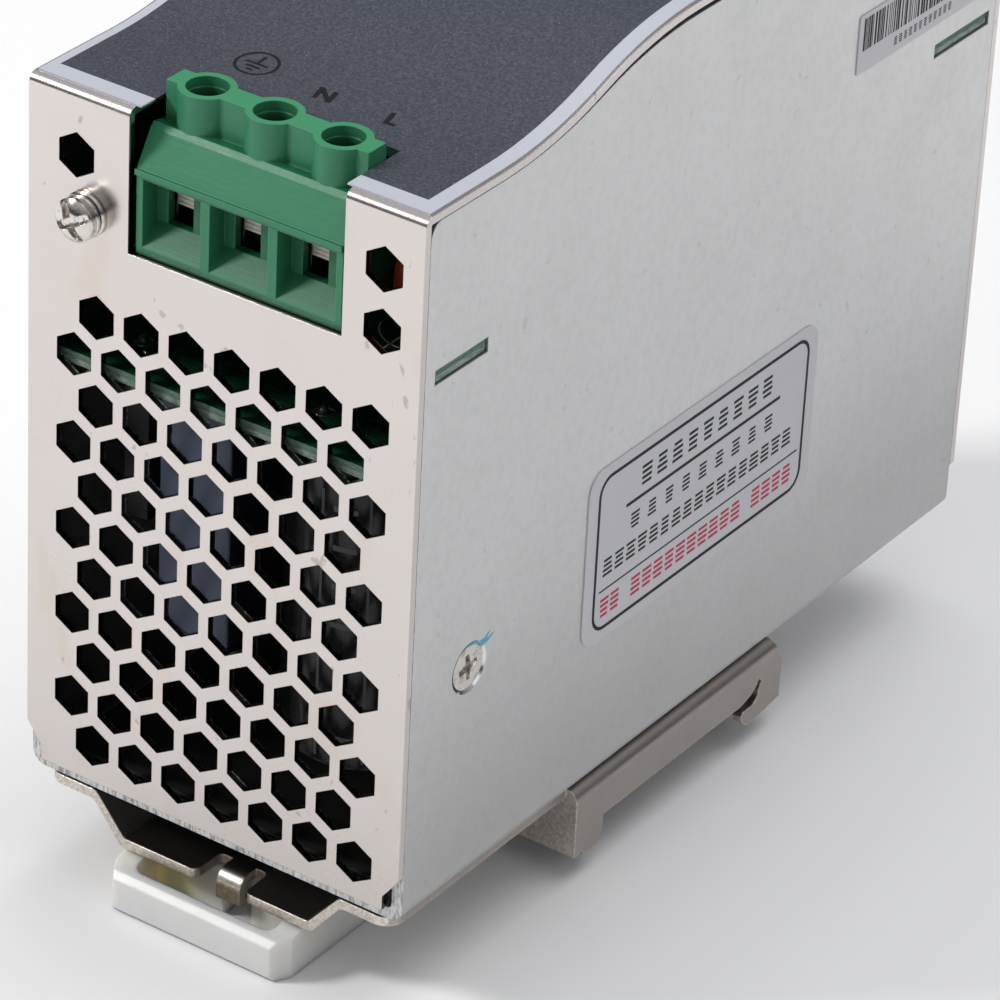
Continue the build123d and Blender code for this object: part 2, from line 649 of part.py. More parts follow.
def make_latch_spring():
    """Compression spring between the bracket's anchor lug and the latch."""
    start = ANCHOR_Y + BRACKET_T + SPRING_WIRE_R + GAP
    stop = SPRING_END - SPRING_WIRE_R - GAP
    height = stop - start
    path = Helix(pitch=height / SPRING_TURNS, height=height, radius=SPRING_R)
    wire = Plane(path @ 0, z_dir=path % 0) * Circle(SPRING_WIRE_R)
    coil = sweep(wire, path=path, is_frenet=True)
    return Pos(0, start, BACK - 10.3) * Rot(-90, 0, 0) * coil


# ---- clamp terminals -----------------------------------------------------------------------
def terminal_half_width(poles):
    """Half the width of a terminal block."""
    return poles * POLE_PITCH / 2 + 0.25


def pole_places(poles):
    """x of each pole, from the middle of the block."""
    return [(i - (poles - 1) / 2) * POLE_PITCH for i in range(poles)]


def make_terminal_body(poles):
    """Green housing: wire mouths below a sloping shoulder, driver tubes joined by a web."""
    half = terminal_half_width(poles)
    sill = TERMINAL_CUT_FLOOR - TERMINAL_BOARD_TOP + GAP
    face = [
        (COVER_T + GAP - TERMINAL_SET_IN, GAP),
        (COVER_T + GAP - TERMINAL_SET_IN, sill),
        (BLOCK_FRONT, sill),
        (BLOCK_FRONT, RIDGE_Z - LIP_H),
        (BLOCK_FRONT - BLOCK_LIP, RIDGE_Z - LIP_H + 0.15),
        (BLOCK_FRONT - BLOCK_LIP, RIDGE_Z),
        (BLOCK_FRONT, RIDGE_Z),
        (SHOULDER_Y - 0.6, SHOULDER_Z - 0.6),
        (SHOULDER_Y, SHOULDER_Z),
        (WEB_Y[0], SHOULDER_Z - 0.3),
        (2.2, SHOULDER_Z - 0.3),
        (BLOCK_BACK, RIDGE_Z + 1.0),
        (BLOCK_BACK, GAP),
    ]
    body = pull_x(outline(face), -half, half)
    web_half = half - WEB_SET_IN
    body += block(-web_half, web_half, *WEB_Y, SHOULDER_Z - 3, RIM_Z)
    for x in pole_places(poles):
        body += rod(x, 0, SHOULDER_Z - 3, TUBE_R, RIM_Z - SHOULDER_Z + 3)
    for x in pole_places(poles):
        body -= pole_cutter(x)
    return body


def pole_cutter(x):
    """Everything that is open in one pole: wire mouth, cage chamber, driver hole, pin hole."""
    ramp = (BLOCK_FRONT - MOUTH_BACK_Y) / (WINDOW_Z[0] - MOUTH_Z[0])
    funnel = [
        (BLOCK_FRONT + ramp, MOUTH_Z[0] - 1),
        (MOUTH_BACK_Y, WINDOW_Z[0]),
        (MOUTH_BACK_Y, WINDOW_Z[1]),
        (BLOCK_FRONT - 1, MOUTH_Z[1]),
        (BLOCK_FRONT - 1, MOUTH_Z[0] - 1),
    ]
    cutter = pull_x(outline(funnel), x - MOUTH_HALF_W, x + MOUTH_HALF_W)
    cutter += block(
        x + WINDOW_X[0], x + WINDOW_X[1], MOUTH_BACK_Y - 0.01, CHAMBER_Y[0] + 0.01, *WINDOW_Z
    )
    cutter += block(
        x - CHAMBER_HALF_W, x + CHAMBER_HALF_W, CHAMBER_Y[0] - 0.01, CHAMBER_Y[1], *CHAMBER_Z
    )
    cutter += rod(x, 0, CHAMBER_Z[1] - 1, CLAMP_SCREW_R + 0.15, SHELF_T + 2)
    cutter += rod(x, 0, CHAMBER_Z[1] + SHELF_T, DRIVER_HOLE_R, RIM_Z)
    cutter += rod(x, 0, RIM_Z - DRIVER_RIM_H, DRIVER_RIM_R, RIM_Z)
    cutter += block(x - 1.3, x + 1.3, 2.4, CHAMBER_Y[1], -1, CHAMBER_Z[0] + 1)
    return cutter


def make_cage(x):
    """Rising clamp cage of one pole, a square loop with a threaded top plate."""
    low, high = CAGE_Z
    body = block(x - CAGE_HALF_W, x + CAGE_HALF_W, -CAGE_HALF_D, CAGE_HALF_D, low, high)
    inside = CAGE_HALF_W - CAGE_WALL
    body -= block(x - inside, x + inside, -5, 5, low + CAGE_WALL, high - CAGE_TOP_T)
    return body - rod(x, 0, high - 3, CLAMP_SCREW_R + GAP, 6)


def make_clamp_screw(x):
    """Captive clamp screw of one pole, with a slotted cheese head."""
    seat = CHAMBER_Z[1] + SHELF_T + GAP
    body = rod(x, 0, seat, CLAMP_HEAD_R, CLAMP_HEAD_H)
    body += rod(x, 0, BAR_Z[1] + 0.15, CLAMP_SCREW_R, seat - BAR_Z[1])
    return body - cross_slot(x, 0, seat + CLAMP_HEAD_H, 2.0, 0.4, 1.3)


def make_pole_bars(poles):
    """Current bar of each pole, bent down behind the cage into a solder pin."""
    bars = []
    for x in pole_places(poles):
        bar = block(x - 2.2, x + 2.2, CHAMBER_Y[0] + 0.1, CHAMBER_Y[1] - 0.1, *BAR_Z)
        pin = block(x - 1.2, x + 1.2, 2.6, CHAMBER_Y[1] - 0.1, -BOARD_T - PIN_BELOW + 2, BAR_Z[1])
        bars.append(bar + pin)
    return bars


def at_input(shape):
    """Places a terminal part at the input end."""
    return Pos(INPUT_X, NEAR + TERMINAL_SET_IN, TERMINAL_BOARD_TOP) * shape


def at_output(shape):
    """Places a terminal part at the output end, facing the other way."""
    return Pos(OUTPUT_X, FAR - TERMINAL_SET_IN, TERMINAL_BOARD_TOP) * Rot(0, 0, 180) * shape


# ---- boards --------------------------------------------------------------------------------
SPACER_PLACES = tuple((x, CASE_MID_Y + y) for x in (-22.2, 22.2) for y in (-33.0, 47.0))
LINK_PLACES = tuple((2.54 * i - 6.35, CASE_MID_Y + 1.0) for i in range(6))
VARISTOR_PINS = ((23.0, NEAR + 6.6), (23.0, NEAR + 13.6))


def make_terminal_board():
    """Board behind the front, with tabs in the side wall slots and holes for the solder pins."""
    top = TERMINAL_BOARD_TOP
    body = block(-INNER_W + 0.3, INNER_W - 0.3, NEAR + 1.4, FAR - 1.4, top - BOARD_T, top)
    for start, stop in board_tab_spans():
        body += block(-HALF_W + 0.35, HALF_W - 0.35, start, stop, top - BOARD_T, top)
    for x, y in SPACER_PLACES + LINK_PLACES:
        body -= rod(x, y, top - 3, 0.5 if (x, y) in LINK_PLACES else 1.6, 6)
    for poles, place in ((INPUT_POLES, at_input), (OUTPUT_POLES, at_output)):
        for x in pole_places(poles):
            body -= place(block(x - 1.3, x + 1.3, 2.5, CHAMBER_Y[1], -3, 1))
    return body


def make_power_board():
    """Board that carries the power parts on its rear face."""
    top = POWER_BOARD_TOP
    body = block(-INNER_W + 0.4, INNER_W - 0.4, NEAR + 1.5, FAR - 1.5, top - BOARD_T, top)
    for x, y in SPACER_PLACES + LINK_PLACES:
        body -= rod(x, y, top - 3, 0.5 if (x, y) in LINK_PLACES else 1.6, 6)
    return body


def make_board_spacers():
    """Hexagonal brass spacers between the two boards."""
    height = TERMINAL_BOARD_TOP - BOARD_T - POWER_BOARD_TOP - 2 * GAP
    spacers = []
    for x, y in SPACER_PLACES:
        face = Pos(x, y) * RegularPolygon(3.1, 6)
        body = pull_z(face, POWER_BOARD_TOP + GAP, POWER_BOARD_TOP + GAP + height)
        spacers.append(body - rod(x, y, POWER_BOARD_TOP, 1.25, 20))
    return spacers


def make_board_screws():
    """Pan-head screws that hold both boards to the spacers."""
    screws = []
    for x, y in SPACER_PLACES:
        for face, up in ((TERMINAL_BOARD_TOP, 1), (POWER_BOARD_UNDER, -1)):
            head = rod(x, y, face + up * GAP, 2.6, up * 1.8)
            screw = head + rod(x, y, face + up * GAP, 1.2, -up * 6.0)
            slot_z = sorted((face + up * 1.0, face + up * 3.0))
            screws.append(screw - block(x - 2, x + 2, y - 0.35, y + 0.35, *slot_z))
    return screws


def make_board_link():
    """Row of square pins that join the two boards."""
    low = POWER_BOARD_TOP + GAP
    high = TERMINAL_BOARD_TOP - BOARD_T - GAP
    pins = [rod(x, y, low - 3, 0.4, high - low + 6) for x, y in LINK_PLACES]
    x0 = LINK_PLACES[0][0] - 1.27
    x1 = LINK_PLACES[-1][0] + 1.27
    y = LINK_PLACES[0][1]
    holder = block(x0, x1, y - 1.27, y + 1.27, low, low + 2.5)
    for pin in pins:
        holder += pin
    return holder


# ---- parts on the terminal board -----------------------------------------------------------
def make_varistor():
    """Red-brown disc on two legs, beside the input terminals."""
    x = VARISTOR_PINS[0][0]
    y = (VARISTOR_PINS[0][1] + VARISTOR_PINS[1][1]) / 2
    disc = rod(x - 2.2, y, TERMINAL_BOARD_TOP + 9.0, 7.2, 4.4, "X")
    disc = fillet(disc.edges().filter_by(GeomType.CIRCLE), 1.6)
    for _, pin_y in VARISTOR_PINS:
        disc += rod(x, pin_y, TERMINAL_BOARD_TOP + GAP, 0.4, 5)
    return disc


def make_fuse():
    """Ceramic fuse tube with end caps."""
    y = NEAR + 19.0
    z = TERMINAL_BOARD_TOP + 5.2
    tube = rod(-9, y, z, 2.35, 18, "X")
    return tube + rod(-10, y, z, 2.6, 5, "X") + rod(5, y, z, 2.6, 5, "X")


def make_fuse_clips():
    """Sprung clips that hold the fuse."""
    clips = []
    y = NEAR + 19.0
    z = TERMINAL_BOARD_TOP + 5.2
    for x in (-9.5, 5.5):
        clip = block(x, x + 4, y - 3.2, y + 3.2, TERMINAL_BOARD_TOP + GAP, z + 2.2)
        clip -= block(x - 1, x + 5, y - 2.6, y + 2.6, z, z + 6)
        clips.append(clip - rod(x - 1, y, z, 2.6 + GAP, 6, "X"))
    return clips


def make_thermistor():
    """Inrush-current thermistor, a disc on legs."""
    middle = 15.0
    y = NEAR + 26.0
    disc = rod(middle, y, TERMINAL_BOARD_TOP + 9.0, 6.5, 4.5, "Y")
    disc = fillet(disc.edges().filter_by(GeomType.CIRCLE), 1.2)
    for x in (middle - 2.5, middle + 2.5):
        disc += rod(x, y + 2.2, TERMINAL_BOARD_TOP + GAP, 0.4, 4.5)
    return disc


CHOKE_PLACE = (-2.0, NEAR + 39.0, TERMINAL_BOARD_TOP + 1.0)


def make_choke_core():
    """Ferrite ring of the common-mode choke."""
    x, y, z = CHOKE_PLACE
    return rod(x, y, z + 1.2, 11.0, 7.0) - rod(x, y, z, 6.0, 10)


def make_choke_windings():
    """The two wound halves of the common-mode choke, as sleeves round the ring."""
    x, y, z = CHOKE_PLACE
    sleeve = rod(x, y, z, 12.2, 9.4) - rod(x, y, z - 1, 4.8, 12)
    sleeve -= rod(x, y, z + 1.2 - GAP, 11.0 + GAP, 7.0 + 2 * GAP) - rod(x, y, z, 6.0 - GAP, 10)
    windings = []
    for side in (-1, 1):
        half = sleeve & block(x + side * 2.2, x + side * 14, y - 14, y + 14, z - 1, z + 12)
        windings.append(half)
    return windings


def make_adjuster_body():
    """Housing of the output voltage adjuster."""
    low = TERMINAL_BOARD_TOP + GAP
    high = BACK + DEPTH_ENDS - 6.0
    x, y = ADJUST_X, PANEL_PARTS_Y
    body = block(x - 4.2, x + 4.2, y - 4.2, y + 4.2, low, high)
    return body - rod(x, y, high - 2.0, 2.8 + GAP, 5)


def make_adjuster_rotor():
    """Rotor of the adjuster, reached with a screwdriver through the front."""
    x, y = ADJUST_X, PANEL_PARTS_Y
    low = BACK + DEPTH_ENDS - 8.0 + GAP
    rotor = rod(x, y, low, 2.8, 1.9) + rod(x, y, low, 2.2, 6.4)
    rotor -= cross_slot(x, y, low + 6.4, 1.7, 0.35, 1.4)
    return rotor - block(x - 0.25, x + 0.25, y + 1.5, y + 3, low + 5.9, low + 8)


def make_lamp():
    """Status lamp: a domed lens with a flange, on two long legs that stand on the board."""
    x, y = LAMP_X, PANEL_PARTS_Y
    dome = BACK + DEPTH_ENDS - 0.2
    foot = TERMINAL_BOARD_TOP + GAP
    lamp = rod(x, y, dome - 4.6, 1.45, 4.6) + Pos(x, y, dome) * Sphere(1.45)
    lamp += rod(x, y, dome - 5.2, 1.9, 1.0)
    for leg_x in (x - LAMP_LEG_PITCH / 2, x + LAMP_LEG_PITCH / 2):
        lamp += rod(leg_x, y, foot, 0.3, dome - 5.0 - foot)
    return lamp


# ---- parts on the power board --------------------------------------------------------------
UNDER = POWER_BOARD_UNDER - GAP


def hang(x0, x1, y0, y1, height):
    """A box-shaped part that hangs from the power board."""
    return block(x0, x1, y0, y1, UNDER - height, UNDER)


def make_film_capacitor():
    """Boxed film capacitor close behind the input vents."""
    body = hang(-12.4, -1.9, NEAR + 5.2, NEAR + 31.7, 33.0)
    return fillet(edges_along(body, Axis.Z), 0.6)


def make_main_capacitor():
    """Main electrolytic capacitor, a can with a rolled groove."""
    x = 11.4
    y = NEAR + 16.4
    radius = 10.9
    can = rod(x, y, UNDER, radius, -44.0)
    groove = rod(x, y, UNDER - 3.2, radius + 1, -1.2) - rod(x, y, UNDER - 2, radius - 0.6, -4)
    can -= groove
    return fillet(can.edges().filter_by(GeomType.CIRCLE).sort_by(Axis.Z)[0], 1.0)


def make_bridge_rectifier():
    """Flat bridge rectifier standing on four legs."""
    y0 = NEAR + 8.0
    body = block(-19.6, -16.1, y0, y0 + 22.0, UNDER - 22.0, UNDER - 4.0)
    body -= rod(-20, y0 + 11, UNDER - 16.0, 1.6, 6, "X")
    for i in range(4):
        body += block(-18.3, -17.4, y0 + 2.6 + 5.3 * i, y0 + 3.6 + 5.3 * i, UNDER - 5, UNDER)
    return body


def make_heat_bar(side, y0, y1):
    """Aluminium bar that carries heat from a power part to the side wall."""
    outer = side * (INNER_W - GAP)
    inner = side * (INNER_W - 3.2)
    bar = block(inner, outer, y0, y1, BACK + 21, BACK + 41)
    y = SIDE_SCREW_Y if side > 0 else SIDE_SCREW_FAR_Y
    return bar - rod(side * (INNER_W + 1), y, SIDE_SCREW_Z, SIDE_SCREW_R, -side * 6, "X")


def make_power_package(side, y):
    """Three-leg power semiconductor, flat on the inside of a heat bar."""
    inner = INNER_W - 3.2 - GAP
    tab = block(side * inner, side * (inner - 1.3), y - 5, y + 5, BACK + 23, BACK + 38)
    body = tab + block(side * inner, side * (inner - 4.4), y - 5, y + 5, BACK + 29, BACK + 38)
    for dy in (-2.54, 0, 2.54):
        legs = block(
            side * (inner - 2.0), side * (inner - 2.6), y + dy - 0.4, y + dy + 0.4, BACK + 37, UNDER
        )
        body += legs
    return body


TRANSFORMER_Y = CASE_MID_Y + 1.0


def make_transformer_core():
    """Two E cores closed into one, round the bobbin."""
    y = TRANSFORMER_Y
    top = UNDER - 5.0
    core = block(-16, 16, y - 6, y + 6, top - 30, top)
    core -= block(-11.6, -5.2, y - 8, y + 8, top - 25, top - 5)
    core -= block(5.2, 11.6, y - 8, y + 8, top - 25, top - 5)
    return core


def make_transformer_bobbin():
    """Moulded bobbin on the centre leg, with two flanges and pins up to the board."""
    y = TRANSFORMER_Y
    top = UNDER - 5.0 - 5.2
    bottom = UNDER - 5.0 - 24.8
    tube = block(-6.2, 6.2, y - 7.2, y + 7.2, bottom, top)
    flanges = block(-11.4, 11.4, y - 14, y + 14, top - 1.2, top)
    flanges += block(-11.4, 11.4, y - 14, y + 14, bottom, bottom + 1.2)
    body = tube + flanges
    for side in (-1, 1):
        body += block(-11.4, 11.4, y + side * 10, y + side * 14, top - 1.2, UNDER)
    body -= block(-5.4, 5.4, y - 6.2, y + 6.2, bottom - 1, top + 1)
    return body


def make_transformer_winding():
    """Taped winding between the bobbin's flanges."""
    y = TRANSFORMER_Y
    top = UNDER - 5.0 - 5.2 - 1.3
    bottom = UNDER - 5.0 - 24.8 + 1.3
    winding = block(-11.2, 11.2, y - 12.6, y + 12.6, bottom, top)
    winding = fillet(edges_along(winding, Axis.Z), 3.0)
    winding -= block(-6.3, 6.3, y - 7.3, y + 7.3, bottom - 1, top + 1)
    return winding


INDUCTOR_PLACE = (9.0, FAR - 27.0)


def make_inductor_core():
    """Powder ring of the output inductor."""
    x, y = INDUCTOR_PLACE
    return rod(x, y, UNDER - 1.4, 11.0, -9.0) - rod(x, y, UNDER, 5.5, -14)


def make_inductor_winding():
    """Wire turns round the output inductor's ring, as a sleeve with a gap."""
    x, y = INDUCTOR_PLACE
    sleeve = rod(x, y, UNDER, 12.4, -11.8) - rod(x, y, UNDER + 1, 4.1, -14)
    core_space = rod(x, y, UNDER - 1.4 + GAP, 11.0 + GAP, -9.0 - 2 * GAP)
    sleeve -= core_space - rod(x, y, UNDER, 5.5 - GAP, -14)
    return sleeve - block(x - 1.6, x + 1.6, y + 3, y + 14, UNDER - 13, UNDER + 1)


def make_output_capacitors():
    """Three output electrolytic capacitors."""
    cans = []
    for i in range(3):
        can = rod(-12.0, FAR - 34.7 + 12.9 * i, UNDER, 6.25, -25.0)
        cans.append(fillet(can.edges().filter_by(GeomType.CIRCLE).sort_by(Axis.Z)[0], 0.8))
    return cans


def make_y_capacitors():
    """Two small discs on the front face of the power board."""
    discs = []
    for x in (-14.0, -6.0):
        disc = rod(x, CASE_MID_Y - 21.6, POWER_BOARD_TOP + 6.0, 4.5, 3.6, "Y")
        disc = fillet(disc.edges().filter_by(GeomType.CIRCLE), 1.0)
        disc += rod(x - 2.5, CASE_MID_Y - 20, POWER_BOARD_TOP + GAP, 0.35, 3.5)
        discs.append(disc + rod(x + 2.5, CASE_MID_Y - 20, POWER_BOARD_TOP + GAP, 0.35, 3.5))
    return discs


def small_package(x, y, length, width):
    """Moulded chip on the front face of the power board, with legs along both sides."""
    z = POWER_BOARD_TOP + GAP
    chip = block(x - length / 2, x + length / 2, y - width / 2, y + width / 2, z + 0.6, z + 3.8)
    count = max(2, round(length / 2.54) - 1)
    for i in range(count):
        leg_x = x + (i - (count - 1) / 2) * 2.54
        for side in (-1, 1):
            end = sorted((side * (width / 2 - 0.3), side * (width / 2 + 0.6)))
            chip += block(leg_x - 0.4, leg_x + 0.4, y + end[0], y + end[1], z, z + 2.2)
    return chip


def make_insulation_sheet():
    """Insulating sheet on the inside of the case's back."""
    sheet = block(-INNER_W + 1.6, INNER_W - 1.6, NEAR + 3, FAR - 3, BACK_INSIDE + 1.1, BACK_INSIDE + 1.5)
    return sheet


# ---- all nodes -----------------------------------------------------------------------------
def make_nodes():
    """Every part under its node name."""
    nodes = {
        "chassis": make_chassis(),
        "cover": make_cover(),
        "front_label": make_front_label(),
        "rating_label": side_film(
            CASE_MID_Y - 26.5, CASE_MID_Y + 23.9, BACK + 19.7, BACK + 44.3, 3.0
        ),
        "code_label": side_film(CASE_MID_Y + 27.7, CASE_MID_Y + 59.5, BACK + 76.2, BACK + 84.2, 0.4),
        "rail_bracket": make_rail_bracket(),
        "bracket_spacers": make_bracket_spacers(),
        "bracket_rivets": make_bracket_rivets(),
        "latch_slider": make_latch_slider(),
        "latch_spring": make_latch_spring(),
        "earth_screw": make_earth_screw(),
        "earth_nut_washers": make_earth_nut_washers(),
        "side_screws": make_side_screws(),
        "terminal_board": make_terminal_board(),
        "power_board": make_power_board(),
        "board_spacers": make_board_spacers(),
        "board_screws": make_board_screws(),
        "board_link": make_board_link(),
        "input_terminal_body": at_input(make_terminal_body(INPUT_POLES)),
        "output_terminal_body": at_output(make_terminal_body(OUTPUT_POLES)),
        "pole_bars": [at_input(bar) for bar in make_pole_bars(INPUT_POLES)]
        + [at_output(bar) for bar in make_pole_bars(OUTPUT_POLES)],
        "varistor": make_varistor(),
        "fuse": make_fuse(),
        "fuse_clips": make_fuse_clips(),
        "thermistor": make_thermistor(),
        "choke_core": make_choke_core(),
        "choke_windings": make_choke_windings(),
        "adjuster_body": make_adjuster_body(),
        "adjuster_rotor": make_adjuster_rotor(),
        "status_lamp": make_lamp(),
        "film_capacitor": make_film_capacitor(),
        "main_capacitor": make_main_capacitor(),
        "bridge_rectifier": make_bridge_rectifier(),
        "input_heat_bar": make_heat_bar(1, NEAR + 4, CASE_MID_Y + 6),
        "output_heat_bar": make_heat_bar(-1, CASE_MID_Y + 10, FAR - 4),
        "switch_transistor": make_power_package(1, CASE_MID_Y - 22),
        "output_diode": make_power_package(-1, CASE_MID_Y + 18),
        "transformer_core": make_transformer_core(),
        "transformer_bobbin": make_transformer_bobbin(),
        "transformer_winding": make_transformer_winding(),
        "inductor_core": make_inductor_core(),
        "inductor_winding": make_inductor_winding(),
        "output_capacitors": make_output_capacitors(),
        "y_capacitors": make_y_capacitors(),
        "insulation_sheet": make_insulation_sheet(),
    }
    couplers = [small_package(x, CASE_MID_Y + 8, 4.6, 6.4) for x in (8.0, 15.0)]
    nodes["control_chips"] = couplers + [small_package(4.0, CASE_MID_Y - 10, 10.0, 6.4)]
    for label, poles, place in (("input", INPUT_POLES, at_input), ("output", OUTPUT_POLES, at_output)):
        for number, x in enumerate(pole_places(poles), 1):
            nodes[f"{label}_screw_{number}"] = place(make_clamp_screw(x))
            nodes[f"{label}_cage_{number}"] = place(make_cage(x))
    return nodes


def as_one(shape):
    """A single shape, or a group of separate solids as one compound."""
    solids = []
    for item in shape if isinstance(shape, list) else [shape]:
        solids += item.solids()
    return solids[0] if len(solids) == 1 else Compound(children=solids)


def main():
    """Writes one STEP file for each node."""
    os.makedirs("parts", exist_ok=True)
    for name, shape in make_nodes().items():
        export_step(as_one(shape), f"parts/{name}.step")


main()
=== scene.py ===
"""Looks of the DIN rail power supply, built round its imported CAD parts."""

import json
import math
import random

import bpy
from mathutils import Matrix, Vector


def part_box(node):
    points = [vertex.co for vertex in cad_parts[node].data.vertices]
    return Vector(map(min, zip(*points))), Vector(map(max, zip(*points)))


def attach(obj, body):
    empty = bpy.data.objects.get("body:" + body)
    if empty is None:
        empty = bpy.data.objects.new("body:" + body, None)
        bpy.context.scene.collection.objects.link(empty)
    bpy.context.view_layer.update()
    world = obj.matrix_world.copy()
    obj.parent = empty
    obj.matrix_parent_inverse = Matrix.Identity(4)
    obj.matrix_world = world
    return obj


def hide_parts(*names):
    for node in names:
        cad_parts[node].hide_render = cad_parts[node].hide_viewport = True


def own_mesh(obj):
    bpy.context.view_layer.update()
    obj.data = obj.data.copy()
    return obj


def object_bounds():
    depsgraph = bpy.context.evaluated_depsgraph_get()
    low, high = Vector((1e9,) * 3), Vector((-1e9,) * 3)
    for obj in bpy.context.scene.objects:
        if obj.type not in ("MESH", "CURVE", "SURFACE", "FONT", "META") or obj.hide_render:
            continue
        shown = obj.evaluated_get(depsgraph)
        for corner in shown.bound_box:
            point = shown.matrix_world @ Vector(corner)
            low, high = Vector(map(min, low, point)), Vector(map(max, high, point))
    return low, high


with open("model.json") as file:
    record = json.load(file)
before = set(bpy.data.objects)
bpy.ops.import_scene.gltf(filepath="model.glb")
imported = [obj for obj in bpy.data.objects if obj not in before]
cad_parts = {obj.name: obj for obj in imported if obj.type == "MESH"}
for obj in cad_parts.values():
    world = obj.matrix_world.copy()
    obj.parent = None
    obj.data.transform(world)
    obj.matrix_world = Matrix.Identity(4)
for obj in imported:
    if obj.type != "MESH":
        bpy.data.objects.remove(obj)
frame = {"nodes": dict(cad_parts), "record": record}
cad_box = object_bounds()

MM = 0.001
CASE = "case"

# Sizes repeated from the CAD, in millimetres.
MID_Y = 1.2
NEAR = MID_Y - 62.6
FAR = MID_Y + 62.6
HALF_W = 27.75
BACK = 7.4
FRONT_LOW = BACK + 93.3
FRONT_HIGH = BACK + 100.0
WAVE_OUTER = 48.0
WAVE_INNER = 9.0
TERMINAL_BOARD = 80.4
POWER_BOARD = 65.8
POWER_UNDER = POWER_BOARD - 1.65
FILM = 0.2
POLE_PITCH = 9.5
INPUT_X = 1.8
OUTPUT_X = 4.75
TUBE_Y = 55.6
SIDE_FILM_X = HALF_W + 0.15
INK = 0.02
SIDE_SCREW_Y = NEAR + 12.6
SIDE_SCREW_FAR_Y = FAR - 27.0
SIDE_SCREW_Z = BACK + 29.5
PANEL_PARTS_Y = FAR - 17.3
ADJUST_X = 15.0
LAMP_X = -15.0


# ---- node materials ------------------------------------------------------------------------
# Where the colour sockets of a mix node are: its name for them is shared with its other kinds.
MIX_COLOR_A, MIX_COLOR_B, MIX_COLOR_RESULT = 6, 7, 2


